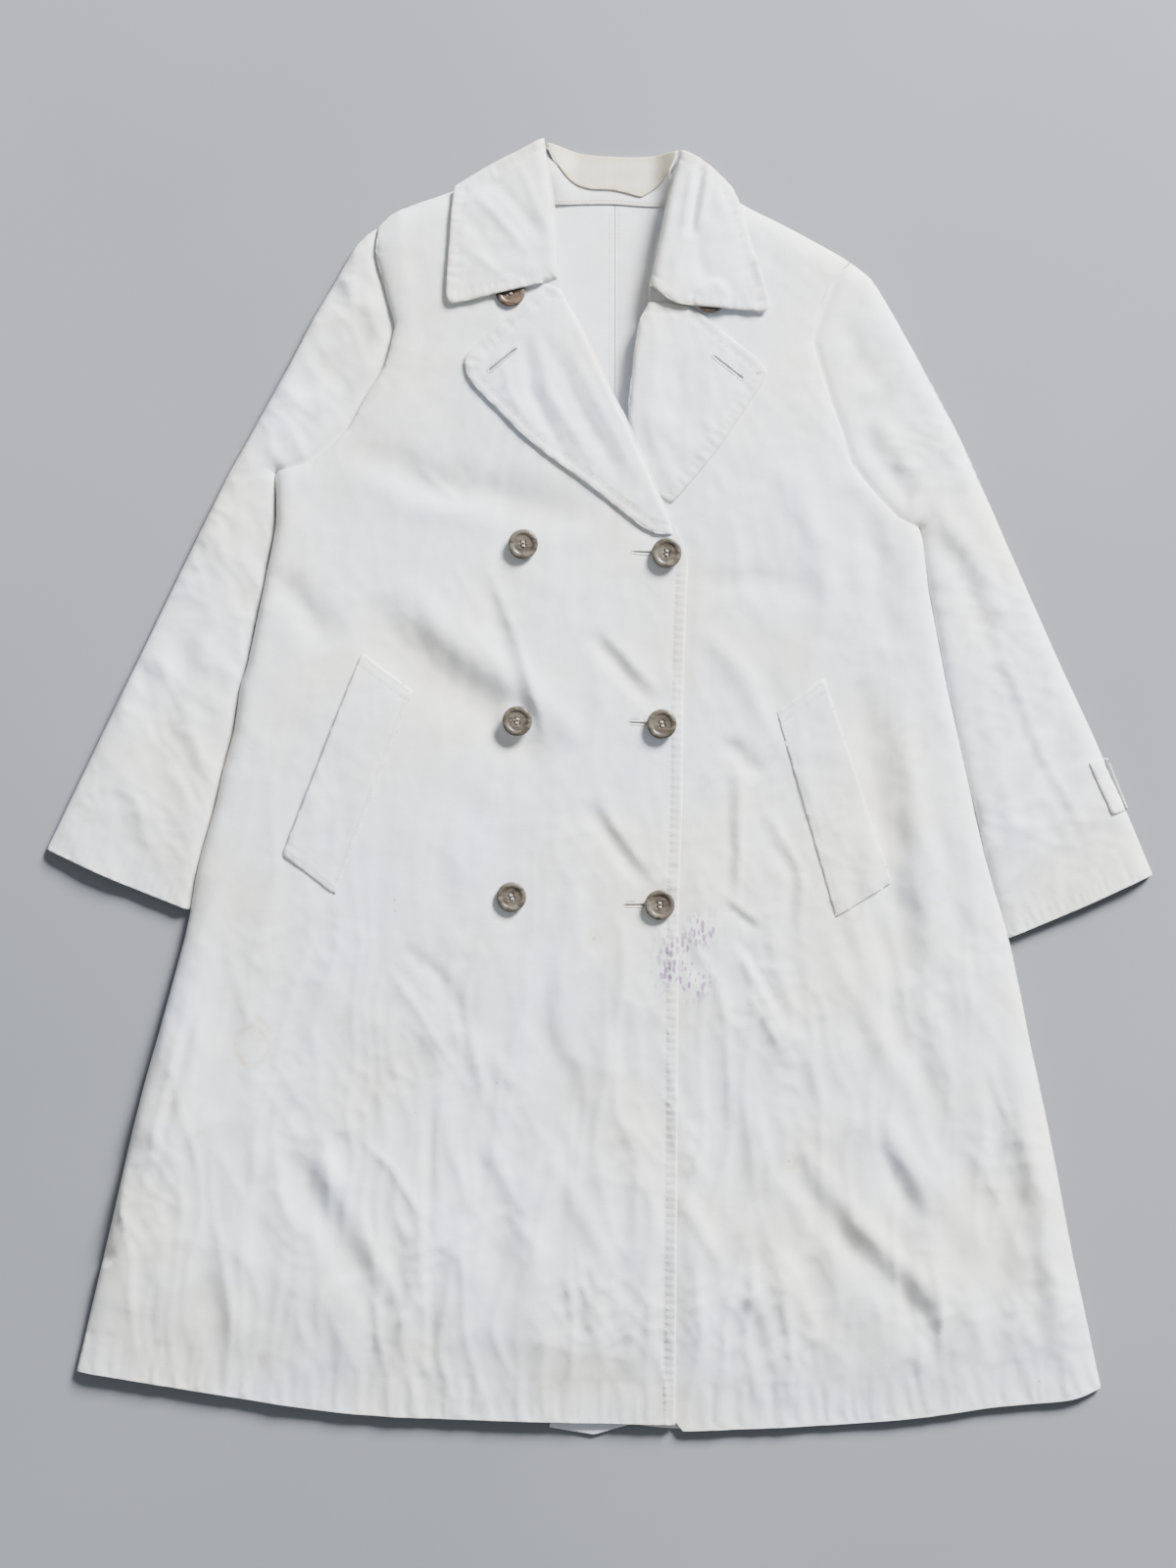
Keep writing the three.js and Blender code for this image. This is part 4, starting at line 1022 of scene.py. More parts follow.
# neck: facing band, stand and the collar's back fall
STAND = [(-43.2, 527.6), (-28, 524.4), (-9.6, 520.4), (14.4, 518.8), (40, 518.8), (64, 521.2), (59.2, 510.8), (49.6, 496.4), (34.4, 486), (12, 491.6), (-9.6, 493.2), (-24, 499.6), (-36, 513.2)]
facing_line = C([(-43.2, 516.4), (-30.4, 506.8), (-9.6, 500.4), (12, 498.8), (34.4, 495.6), (48, 503.6), (57.6, 513.2), (56.8, 492.4), (53.6, 478), (34.4, 478.8), (12, 480.4), (-9.6, 480.4), (-40, 479.6), (-42.4, 496.4), (-43.2, 516.4)], 2.4)


def neck_rise(x, y):
    xr, xl = RIGHT_NECK_X, LEFT_NECK_X
    r = smooth(1 - (x - xr) / 26.0)
    l = smooth(1 - (xl - x) / 26.0)
    return (12.0 * r ** 1.3 + 12.0 * l ** 1.3) * smooth((y - NECK_LOW_Y) / 34.0)


RIGHT_NECK_X, LEFT_NECK_X, NECK_LOW_Y = (-41.6, 644.4)[0], (65.6, 644.4)[0], (-489.6, 473.2)[1]
neck_facing = cloth("neck_facing_cloth", ring(facing_line), lambda x, y: z_back(x, y) + 1.1 + neck_rise(x, y), thick=0.7, spacing=3, rows=(0.7,), mat=INNER, paint=calm_edge_paint(ring(facing_line), 0.6, 3.0))
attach(neck_facing, "root")
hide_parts("back_neck_facing")
stand_line = C(STAND + STAND[:1], 2.4)


def z_stand(x, y):
    return z_back(x, y) + 2.1 + neck_rise(x, y) + 0.5 * smooth((y - NECK_LOW_Y - 22.0) / 14.0)


stand = cloth("collar_stand_cloth", ring(stand_line), z_stand, thick=0.8, spacing=2.6, rows=(0.7, 2.0), mat=CREAM, paint=calm_edge_paint(ring(stand_line), 0.7, 4.0))
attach(stand, "root")
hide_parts("collar_stand")
fall = cloth("collar_back_fall_cloth", ring(stand_line), lambda x, y: 0.0 * x + 0.55, thick=0.8, spacing=4, rows=(0.8,), mat=SHELL)
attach(fall, "root")
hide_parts("collar_back_fall")

# ------------------------------------------------------------------- sleeves
R_OUT = [(-180.8, 461.2), (-183.2, 459.6), (-192.8, 452.4), (-201.6, 442), (-217.6, 414.8), (-236.8, 382), (-256, 345.2), (-285.6, 291.6), (-313.6, 239.6), (-384, 94.8), (-453.6, -49.2)]
R_CUFF = [(-453.6, -49.2), (-401.6, -73.2), (-338, -98.8)]
R_IN = [(-338, -98.8), (-332.4, -68.4), (-324.4, -38), (-317.2, -13.2), (-310.8, 15.6), (-302, 47.6), (-296.4, 84.4), (-290.8, 102.8), (-278, 163.6), (-268, 217.2), (-266.4, 259.6)]
R_ARM_S = [(-266.4, 259.6), (-237.6, 268.4), (-207.6, 294.8), (-192.4, 321.6), (-177.2, 345.6), (-169.2, 374), (-168.4, 379.6), (-175.6, 407.6), (-183.36, 434.8), (-181.92, 460.8)]
L_OUT = [(204.8, 432.4), (221.6, 418.8), (230.4, 406), (248, 375.6), (293.6, 290.8), (334.4, 199.6), (374.4, 109.2), (400.8, 52.4), (412.8, 25.2), (434.4, -24.4), (453.6, -70)]
L_CUFF = [(453.6, -70), (398.4, -95.6), (337.6, -121.2)]
L_IN = [(337.6, -121.2), (326.8, -83.6), (317.2, -50.8), (301.2, 21.2), (286.8, 85.2), (278.8, 128.4), (272.4, 160.4), (267.6, 201.2), (263.2, 213.2)]
L_ARM_S = [(263.2, 213.2), (244, 221.6), (220, 247.6), (206, 267.2), (199.6, 290), (186.8, 326.8), (175.6, 365.2), (183.44, 392.8), (192.96, 414.8), (205.6, 431.6)]

SLEEVE_FOLDS = [
    ([(-249.6, 324.4), (-213.6, 346.8), (-176, 390)], -1.8, 9, "r"),
    ([(-240, 300.4), (-208, 330.8), (-171.2, 364.4)], 1.5, 7, "r"),
    ([(-225.6, 380.4), (-200, 390), (-176, 404.4)], 1.1, 7, "r"),
    ([(-280, 268.4), (-272, 212.4), (-289.6, 148.4)], -1.5, 9, "r"),
    ([(-305.6, 196.4), (-317.6, 132.4), (-345.6, 68.4)], 1.3, 10, "r"),
    ([(-325.6, 132.4), (-353.6, 60.4), (-377.6, 4.4)], -1.1, 10, "r"),
    ([(-345.6, 84.4), (-329.6, 36.4), (-325.6, -19.6)], 1.1, 8, "r"),
    ([(-393.6, 28.4), (-401.6, -19.6), (-409.6, -59.6)], 0.9, 9, "r"),
    ([(212.8, 295.6), (234.4, 260.4), (252.8, 232.4)], -2.0, 9, "r"),
    ([(222.4, 308.4), (250.4, 268.4), (270.4, 240.4)], 1.6, 8, "r"),
    ([(252.8, 231.6), (282.4, 196.4), (304, 162.8), (320, 120.4)], -2.1, 10, "r"),
    ([(266.4, 240.4), (298.4, 202.8), (320, 164.4), (336, 124.4)], 1.7, 9, "r"),
    ([(310.4, 164.4), (358.4, 36.4), (408, -53.2)], 1.0, 4.0, "r"),
    ([(302.4, 159.6), (350.4, 32.4), (400, -56.4)], -0.8, 6.0, "r"),
    ([(198.4, 388.4), (214.4, 348.4), (230.4, 324.4)], -1.3, 8, "r"),
    ([(310.4, 84.4), (326.4, 12.4), (342.4, -51.6)], 1.2, 9, "r"),
    ([(358.4, -11.6), (374.4, -43.6), (382.4, -75.6)], -1.0, 8, "r"),
]


def sleeve_relief(x, y):
    h = np.zeros(x.shape)
    for line, amp, w, kind in SLEEVE_FOLDS:
        ln = np.asarray(line, float)
        x0, y0 = ln.min(0) - 3.2 * w
        x1, y1 = ln.max(0) + 3.2 * w
        k = (x > x0) & (x < x1) & (y > y0) & (y < y1)
        if not k.any():
            continue
        wob = noise(x[k] / 30.0, y[k] / 30.0, 8) * w * 0.4
        d, t = dist(x[k] + wob, y[k] - wob * 0.5, resample(ln, 18))
        prof = 0.85 * np.exp(-d / (w * 0.95)) if w <= 6.5 else 0.75 * np.exp(-(d / w) ** 2)
        h[k] += amp * prof * np.clip(np.minimum(t, 1 - t) * 3.5, 0, 1) ** 0.7
    way = np.where(x < 0, -64.0, 64.0)
    ca, sa = np.cos(np.radians(way)), np.sin(np.radians(way))
    u, v = ca * x + sa * y, -sa * x + ca * y
    h += 0.9 * noise(x / 75.0, y / 95.0, 14)
    h += 0.8 * noise(u / 120.0, v / 30.0, 16)
    h += 0.5 * (ridged(u / 110.0, v / 21.0 + 0.4 * noise(x / 30, y / 30, 9), 25) - 0.2)
    for lam, amp, seed, tilt in ((26.0, 1.1, 221, 0.0), (40.0, 1.3, 222, 0.35), (33.0, 0.9, 223, -0.3)):
        t = (v + tilt * u + 9.0 * noise(x / 80.0, y / 80.0, seed)) / lam
        tri = 1 - 2 * np.abs(t - np.round(t))
        m = smooth(noise(x / 60.0, y / 60.0, seed + 30) * 2.0 + 0.0)
        h += amp * m * (tri ** 1.4 - 0.36)
    a, b = rot(x, y, -20)
    patch = smooth(noise(x / 60.0, y / 60.0, 17) * 1.3 + 0.3)
    h += 0.45 * patch * (ridged(a / 40.0, b / 17.0, 27) - 0.2)
    return h + 0.13 * noise(x / 12.0, y / 12.0, 45) + 0.04 * noise(x / 6.4, y / 7.0, 46)


def make_sleeve(side):
    out, cuff, inn, arm = (R_OUT, R_CUFF, R_IN, R_ARM_S) if side == "right" else (L_OUT, L_CUFF, L_IN, L_ARM_S)
    a_line = curve(arm, 2.6, 70)
    ctr = np.array([0.0, 100.0])
    q = shift(a_line, 4.0)
    if np.hypot(*(q[len(q) // 2] - ctr)) > np.hypot(*(a_line[len(q) // 2] - ctr)):
        q = shift(a_line, -4.0)
    k = smooth(np.linspace(0, 1, len(q)) / 0.12) * smooth((1 - np.linspace(0, 1, len(q))) / 0.12)
    tucked = a_line + (q - a_line) * k[:, None]
    i_line = C(inn)
    side_line = RIGHT_SIDE if side == "right" else LEFT_SIDE
    q = i_line.copy()
    for n_i, p in enumerate(i_line):
        seg = resample(side_line, 3)
        near = seg[np.argmin(np.hypot(*(seg - p).T))]
        g = near - p
        l = np.hypot(*g)
        if l > 1e-6:
            q[n_i] = p + g / l * max(0.0, min(l - 0.35, 3.2))
    line = ring(C(out), C(cuff)[1:-1], q, tucked[1:])
    inn = [tuple(p) for p in q[::3]] + [tuple(q[-1])]

    def z_top(x, y):
        do, _ = dist(x, y, out)
        di, _ = dist(x, y, inn)
        da, _ = dist(x, y, arm)
        dc, _ = dist(x, y, cuff)
        e = (0.06 + 0.94 * quarter(do, 15)) * (0.24 + 0.76 * quarter(di, 11))
        e = e * (0.55 + 0.45 * smooth(dc / 75.0))
        z = 1.95 + 8.1 * e + 1.6 * sleeve_relief(x, y) * np.clip(e, 0, 1) * (0.2 + 0.8 * smooth(da / 20.0))
        # the cap is eased into the armhole seam
        z = z + 0.8 * np.exp(-((da - 9.0) / 9.0) ** 2) * smooth(do / 14.0) * smooth(di / 14.0)
        z -= 1.1 * np.exp(-(da / 2.2) ** 2)
        # turned cuff: two plies and a soft line where it is caught down
        z += 0.10 * smooth((34.0 - dc) / 3.0) - 0.10 * np.exp(-((dc - 34.0) / 1.8) ** 2)
        sc = dist(x, y, cuff)[1] * 160.0
        z += 0.8 * noise(sc / 7.0, dc / 50.0, 55) * smooth((34.0 - dc) / 12.0) * smooth(dc / 3.0)
        return np.maximum(z, 1.9)

    cuff_line = shift(C(cuff, 3), 0)
    top = cloth(side + "_top_sleeve_cloth", line, z_top, thick=0.9, spacing=3.3, rows=(0.7, 1.8, 3.4, 5.2, 8.0, 11.5),
                mat=SHELL, paint=calm_edge_paint(line, 0.16, 2.4, body_marks, valleys(sleeve_relief, 0.26)), rests=[side + "_under_sleeve_cloth"])
    low = cloth(side + "_under_sleeve_cloth", line, lambda x, y: 0.58 + 0.18 * np.clip(noise(x / 50.0, y / 60.0, 93), -0.6, 1) + 1.35 * (1 - quarter(dist(x, y, inn)[0], 7.0)), thick=0.8, spacing=5.0, rows=(0.8, 2.2, 4.2), mat=SHELL)
    a, b = (np.array((-264.8, 259.6), float), np.array((-255.2, 364.4), float)) if side == "right" else (np.array((246.8, 376.08), float), np.array((261.6, 211.6), float))
    n = np.array([-(b - a)[1], (b - a)[0]])
    n /= np.hypot(*n)
    far = np.array(R_CUFF[1] if side == "right" else L_CUFF[1], float)
    if n @ (far - a) < 0:
        n = -n
    for ob in (top, low):
        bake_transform(ob)
    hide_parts(side + "_top_sleeve", side + "_sleeve_head")
    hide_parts(side + "_under_sleeve")
    return top, z_top


right_sleeve, z_rs = make_sleeve("right")
left_sleeve, z_ls = make_sleeve("left")

# -------------------------------------------------------------------- lapels
def small_folds(x, y, folds):
    h = np.zeros(x.shape)
    for line, amp, w in folds:
        d, t = dist(x, y, line)
        h += amp * np.exp(-(d / w) ** 2) * np.sin(math.pi * np.clip(t, 0.01, 0.99)) ** 0.6
    return h


LEAF_FOLDS = [
    ([(-105.6, 488.4), (-81.6, 464.4), (-57.6, 434.8)], 0.8, 4.0), ([(-89.6, 498.8), (-65.6, 472.4), (-44.8, 444.4)], -0.7, 5.0),
    ([(-115.2, 444.4), (-93.6, 430), (-73.6, 412.4)], 0.5, 3.5), ([(-65.6, 508.4), (-53.6, 480.4), (-41.6, 452.4)], 0.6, 4.0),
    ([(-113.6, 472.4), (-97.6, 452.4), (-85.6, 428.4)], -0.5, 5.0),
    ([(88, 500.4), (104, 468.4), (118.4, 434.8)], 0.9, 6.0), ([(98.4, 484.4), (112, 452.4), (124.8, 416.4)], -0.8, 6.0),
    ([(70.4, 456.4), (62.4, 432.4), (60.8, 410.8)], 0.9, 5.0), ([(80, 462), (80, 434.8), (88, 407.6)], -1.0, 6.0), ([(62.4, 500.4), (57.6, 472.4), (52.8, 444.4)], 0.8, 5.0)]
LAPEL_FOLDS = [
    ([(-63.2, 372.4), (-56, 324.4), (-20.8, 254)], -1.0, 5.0), ([(-53.6, 376.4), (-41.6, 324.4), (0, 255.6)], 0.9, 5.0), ([(-42.4, 364.4), (-10.4, 298.8), (22.4, 244.4)], -0.8, 5.0),
    ([(-81.6, 356.4), (-73.6, 324.4), (-53.6, 292.4)], 0.6, 4.0), ([(-29.6, 368.4), (6.4, 300.4), (38.4, 240.4)], 0.7, 5.0),
    ([(62.4, 364.4), (61.6, 336.4), (65.6, 296.4)], -1.3, 8.0), ([(44.8, 368.4), (41.6, 324.4), (48, 284.4)], 0.9, 8.0), ([(82.4, 364.4), (88, 328.4), (83.2, 292.4)], 0.8, 8.0),
    ([(78.4, 304.4), (94.4, 292.4), (110.4, 300.4)], 0.6, 3.0), ([(51.2, 288.4), (62.4, 268.4), (68.8, 252.4)], -0.6, 5.0)]


R_LAP_OUT = [(-32, 407.6), (-44.8, 411.6), (-64.8, 393.2), (-96.8, 366), (-107.2, 355.6), (-110.4, 347.6), (-105.6, 333.2), (-81.6, 307.6), (-52, 279.6), (-8.8, 247.6), (18.4, 226), (41.6, 210), (60, 207.6)]
R_LAP_ROLL = [(60, 207.6), (56.8, 219.6), (40.8, 254.8), (21.28, 298.8), (10.56, 320.4), (-16, 377.2), (-32, 407.6)]
R_LAP_BTN = slit((-68, 359.2), (-90.4, 340.8), 0.6, 1.25)


def z_right_lapel(x, y, up=0.0):
    do, _ = dist(x, y, R_LAP_OUT)
    dr, _ = dist(x, y, R_LAP_ROLL)
    z = z_right(x, y) * 0.55 + 16.4 * 0.45
    z = np.maximum(z, z_right(x, y) + 0.75) + 1.0
    z = z + up + 0.9 * smooth(do / 26.0) * smooth(1 - dr / 60.0)
    z += (0.4 * noise(x / 21.0, y / 18.0, 101) + 1.7 * small_folds(x, y, LAPEL_FOLDS)) * smooth(do / 8.0)
    # puckers along the stitched edge, and the pressed edge itself
    s = dist(x, y, R_LAP_OUT)[1] * 260.0
    z += 0.75 * noise(s / 5.2, do / 26.0, 102) * smooth(do / 2.0) * (1 - smooth((do - 9.0) / 6.0))
    z -= 0.62 * np.exp(-((do - 7.2) / 1.0) ** 2) * up
    z -= 0.9 * (1 - quarter(do, 2.4)) * up
    z -= (2.0 + 1.6 * up) * (1 - quarter(dr, 4.5))
    return z


def lapel(name, line, zf, body, node, slot_name, holes=(), lines=(), mat=SHELL, up=1.0, **kw):
    ob = cloth(name, line, lambda x, y: zf(x, y, up), thick=0.75, spacing=2.7, rows=(0.7, 1.7, 3.0, 4.8, 7.2), holes=list(holes), mat=mat, **kw)
    if body:
        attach(ob, body)
    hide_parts(*node)
    return ob


r_lap_line = ring(C(R_LAP_OUT, 2.3), C(R_LAP_ROLL, 2.3)[1:-1])
lap_paint = calm_edge_paint(r_lap_line, 0.34, 3.0)
r_lap_top = lapel("right_lapel_facing_cloth", r_lap_line, z_right_lapel, "right_lapel", ["right_lapel_facing"], "cotton_shell", holes=[R_LAP_BTN], up=1.0, paint=lap_paint, rests=["right_front_cloth"])
r_lap_low = lapel("right_lapel_shell_cloth", r_lap_line, z_right_lapel, "right_lapel", ["right_lapel_shell"], "cotton_shell", holes=[R_LAP_BTN], up=0.0, rests=["right_front_cloth"])

L_LAP_OUT = [(40.8, 397.2), (59.2, 396.8), (80, 390), (108, 367.6), (129.6, 350), (136.8, 340.4), (133.6, 333.2), (118.4, 310), (97.6, 279.6), (67.2, 242.8), (57.2, 232.4)]
L_LAP_ROLL = [(57.2, 232.4), (40, 244.4), (28.8, 268.4), (23.2, 302), (28, 354.8), (32, 380.4), (39.2, 395.6)]
L_LAP_BTN = slit((92.8, 353.6), (116.4, 335.2), 0.6, 1.25)


def z_left_lapel(x, y, up=0.0):
    do, _ = dist(x, y, L_LAP_OUT)
    dr, _ = dist(x, y, L_LAP_ROLL)
    z = z_left(x, y) * 0.55 + 13.2 * 0.45
    z = np.maximum(z, z_left(x, y) + 0.75) + 0.85
    z = z + up * 1.0 + 0.5 * smooth(do / 26.0) * smooth(1 - dr / 60.0)
    z += (0.4 * noise(x / 20.0, y / 19.0, 111) + 1.0 * small_folds(x, y, LAPEL_FOLDS)) * smooth(do / 8.0)
    s = dist(x, y, L_LAP_OUT)[1] * 260.0
    z += 0.65 * noise(s / 5.2, do / 26.0, 112) * smooth(do / 2.0) * (1 - smooth((do - 9.0) / 6.0))
    z -= 0.62 * np.exp(-((do - 7.2) / 1.0) ** 2) * up
    z -= 0.9 * (1 - quarter(do, 2.4)) * up
    z -= (1.6 + 1.2 * up) * (1 - quarter(dr, 5.0))
    low = smooth((dist(x, y, ROLL_RIGHT)[0] - 5.0) / 10.0)
    return z - 0.9 * (1 - low)


l_lap_line = ring(C(L_LAP_OUT, 2.3), C(L_LAP_ROLL, 2.3)[1:-1])


def lapel_blend(ob):
    a, b = np.array((39.2, 395.6), float), np.array((57.6, 226.8), float)
    n = np.array([-(b - a)[1], (b - a)[0]])
    n /= np.hypot(*n)
    if n @ (np.array((118.4, 324.4), float) - a) < 0:
        n = -n
    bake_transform(ob)


l_lap_top = lapel("left_lapel_facing_cloth", l_lap_line, z_left_lapel, None, ["left_lapel_facing"], "cotton_shell", holes=[L_LAP_BTN], up=1.0, paint=calm_edge_paint(l_lap_line, 0.34, 3.0), rests=["left_front_cloth"])
l_lap_low = lapel("left_lapel_shell_cloth", l_lap_line, z_left_lapel, None, ["left_lapel_shell"], "cotton_shell", holes=[L_LAP_BTN], up=0.0, rests=["left_front_cloth"])
lapel_blend(l_lap_top)
lapel_blend(l_lap_low)

# ------------------------------------------------------------- collar leaves
R_LEAF_OUT = [(-45.6, 530.8), (-65.6, 520.4), (-89.6, 509.2), (-118.4, 492.4), (-120.8, 472.4), (-122.4, 448.4), (-125.2, 406), (-124.4, 398.8), (-120.8, 395.2), (-105.6, 398), (-89.6, 402), (-65.6, 407.6), (-44.8, 412.4)]
R_LEAF_ROLL = [(-44.8, 412.4), (-33.6, 415.6), (-36, 452.4), (-40.8, 492.4), (-45.6, 530.8)]
L_LEAF_OUT = [(41.2, 410.8), (60, 397.2), (80, 394), (106.4, 391.6), (133.6, 389.2), (137.6, 391.6), (138.8, 396.4), (132, 420.4), (126.4, 439.6), (113.6, 480.4), (108, 491.6), (94.4, 504.4), (82.4, 513.2), (66, 521.2)]
L_LEAF_ROLL = [(66, 521.2), (61.6, 504.4), (55.2, 480.4), (48, 444.4), (41.2, 410.8)]


def z_leaf(zf, out, roll, button, seed, crease=None):
    edge_top = np.array(out[:4] if button[0] < 0 else out[8:], float)
    floor_z = 15.0 if button[0] < 0 else 12.2

    def f(x, y, up=0.0):
        do, ts = dist(x, y, out)
        dr, tr = dist(x, y, roll)
        ground = np.maximum(zf(x, y), floor_z) + 3.4
        ground = ground - 5.0 * (1 - quarter(dist(x, y, edge_top)[0], 16.0))
        w = smooth(1 - dr / 62.0)
        z = ground * (1 - w) + 20.9 * w
        db = np.hypot(x - button[0], y - button[1])
        lift = (21.5 if button[0] < 0 else 18.5)
        z = np.maximum(z, lift - 0.35 * np.maximum(db - 12.0, 0) ** 1.15)
        z += (0.9 * noise(x / 24.0, y / 22.0, seed) + 1.7 * small_folds(x, y, LEAF_FOLDS)) * smooth(do / 9.0)
        s = ts * 400.0
        z += 0.60 * noise(s / 5.6, do / 24.0, seed + 1) * smooth(do / 2.0) * (1 - smooth((do - 9.0) / 6.0))
        if crease is not None:
            dc, tc = dist(x, y, crease)
            z += (2.6 * np.exp(-((dc - 6.0) / 4.0) ** 2) - 4.4 * np.exp(-(dc / 3.2) ** 2)) * np.sin(math.pi * np.clip(tc, 0.02, 0.98)) ** 0.5
        z -= 0.62 * np.exp(-((do - 8.0) / 1.0) ** 2) * up
        z -= 0.9 * (1 - quarter(do, 2.4)) * up
        z -= (5.0 + 1.2 * up) * (1 - quarter(dr, 7.5))
        return z + up * 1.05
    return f


z_rleaf = z_leaf(z_right, R_LEAF_OUT, R_LEAF_ROLL, (-72.8, 405.2), 121)
z_lleaf = z_leaf(z_left, L_LEAF_OUT, L_LEAF_ROLL, (90.4, 400.4), 131, [(83.2, 510), (80.8, 492.4), (73.6, 454)])
r_leaf_line = ring(C(R_LEAF_OUT, 2.3), C(R_LEAF_ROLL, 2.3)[1:-1])
l_leaf_line = ring(C(L_LEAF_OUT, 2.3), C(L_LEAF_ROLL, 2.3)[1:-1])
r_leaf_top = lapel("right_upper_collar_cloth", r_leaf_line, z_rleaf, "right_collar", ["right_upper_collar"], "cotton_shell", up=1.0, paint=calm_edge_paint(r_leaf_line, 0.5, 3.6), rests=["right_front_cloth"])
r_leaf_low = lapel("right_under_collar_cloth", r_leaf_line, z_rleaf, "right_collar", ["right_under_collar"], "cotton_shell", up=0.0, rests=["right_front_cloth"])
l_leaf_top = lapel("left_upper_collar_cloth", l_leaf_line, z_lleaf, "left_collar", ["left_upper_collar"], "cotton_shell", up=1.0, paint=calm_edge_paint(l_leaf_line, 0.55, 3.8), rests=["left_front_cloth"])
l_leaf_low = lapel("left_under_collar_cloth", l_leaf_line, z_lleaf, "left_collar", ["left_under_collar"], "cotton_shell", up=0.0, rests=["left_front_cloth"])

# ------------------------------------------------------------------- pockets
def make_welt(side):
    q, zf = (R_WELT, z_right) if side == "right" else (L_WELT, z_left)
    free = np.array([q[0], q[3]], float)
    seam = np.array([q[1], q[2]], float)
    ends = [np.array([q[0], q[1]], float), np.array([q[3], q[2]], float)]
    outline = ring(resample(np.array([q[0], q[1]]), 2.3), resample(np.array([q[1], q[2]]), 2.3)[1:], resample(np.array([q[2], q[3]]), 2.3)[1:], resample(np.array([q[3], q[0]]), 2.3)[1:-1])

    def z(x, y):
        dfree, tf = dist(x, y, free)
        dseam, ts = dist(x, y, seam)
        de = np.minimum(dist(x, y, ends[0])[0], dist(x, y, ends[1])[0])
        gape = np.sin(math.pi * np.clip(tf, 0.0, 1.0)) ** 0.6
        h = zf(x, y) + 1.4 + (0.5 + 1.4 * gape) * smooth(1 - dfree / 30.0)
        h += 0.25 * noise(x / 12.0, y / 12.0, 141)
        h -= 0.45 * np.exp(-((dseam - 3.0) / 1.1) ** 2) + 0.4 * np.exp(-((de - 2.6) / 1.0) ** 2) + 0.4 * np.exp(-((de - 9.5) / 1.0) ** 2)
        h -= np.maximum(1.25 * (1 - quarter(dseam, 3.2)), 1.1 * (1 - quarter(de, 3.0))) + 0.6 * (1 - quarter(dfree, 2.4))
        return h

    ob = cloth(side + "_pocket_welt_cloth", outline, z, thick=1.5, spacing=2.8, rows=(0.7, 1.7, 3.0, 5.0, 8.0), mat=SHELL,
               paint=calm_edge_paint(outline, 0.22, 2.4), rests=[side + "_front_cloth"])
    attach(ob, "root")
    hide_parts(side + "_pocket_welt")
    # the bag: two plies sewn round
    bag = [(-173.6, 103.6), (-112, 84.4), (-97.6, -43.6), (-113.6, -119.6), (-157.6, -143.6), (-205.6, -125.2), (-243.2, -79.6), (-235.2, -43.6)] if side == "right" else [(164, 86), (104, 66.8), (91.2, -59.6), (108.8, -135.6), (150.4, -158), (196.8, -143.6), (222.4, -91.6), (214.4, -51.6)]
    bl = ring(C(bag + bag[:1], 4)[:-1])
    for part, z0, k in (("front", 10.6 if side == "right" else 9.0, 1.0), ("back", 9.6 if side == "right" else 8.0, -1.0)):
        zb = lambda x, y, z0=z0, k=k: np.minimum(z0 + k * 0.9 * quarter(dist(x, y, np.vstack([bl, bl[:1]]))[0], 16), under(zf, 2.4)(x, y))
        ob2 = cloth(side + "_pocket_bag_" + part, bl, zb, thick=0.6, spacing=6, rows=(0.8,), mat=INNER)
        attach(ob2, "root")
        if part == "front":
            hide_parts(side + "_pocket_bag")
    return z, free, seam, q


z_rw, rw_free, rw_seam, rq = make_welt("right")
z_lw, lw_free, lw_seam, lq = make_welt("left")

# cuff tab on the wearer's left sleeve
tab_line = ring(resample([(400, 21.2), (416, 26), (432.8, -16.4), (419.2, -21.2), (400, 21.2)], 2.2)[:-1])
z_tab = lambda x, y: z_ls(x, y) + 1.25 - 0.5 * (1 - quarter(dist(x, y, np.vstack([tab_line, tab_line[:1]]))[0], 2.0)) - 0.35 * np.exp(-((dist(x, y, [(406.4, 8.4), (424, 14.8)])[0]) / 1.0) ** 2) - 0.35 * np.exp(-((dist(x, y, [(414.4, -7.6), (430.4, -2)])[0]) / 1.0) ** 2)
tab = cloth("left_cuff_tab_cloth", tab_line, z_tab, thick=1.1, spacing=2.4, rows=(0.7, 1.7, 3.0), mat=SHELL, paint=calm_edge_paint(tab_line, 0.4, 2.0))
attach(tab, "left_sleeve")
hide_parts("left_cuff_tab")


# ------------------------------------------------------------------- buttons
def solid_plate(name, outline, holes, ztop, zbot, spacing, rows, mat):
    v, f = tri_sheet(outline, spacing, rows, (), holes, 0.9)
    n = len(v)
    up = np.concatenate([v, ztop(v[:, 0], v[:, 1])[:, None]], 1)
    dn = np.concatenate([v, zbot(v[:, 0], v[:, 1])[:, None]], 1)
    e = np.concatenate([f[:, [0, 1]], f[:, [1, 2]], f[:, [2, 0]]])
    key = np.sort(e, 1)
    _, inv, cnt = np.unique(key[:, 0] * n + key[:, 1], return_inverse=True, return_counts=True)
    rim = e[cnt[inv] == 1]
    tri = np.concatenate([f, f[:, ::-1] + n,
                          np.stack([rim[:, 1], rim[:, 0], rim[:, 0] + n], 1),
                          np.stack([rim[:, 1], rim[:, 0] + n, rim[:, 1] + n], 1)])
    ob = mesh_from(name, np.concatenate([up, dn]) / 1000.0, tri)
    ob.data.materials.append(mat)
    return ob


def circle(cx, cy, r, n, a0=0.0):
    a = a0 + np.linspace(0, 2 * math.pi, n, endpoint=False)
    return np.stack([cx + r * np.cos(a), cy + r * np.sin(a)], 1)


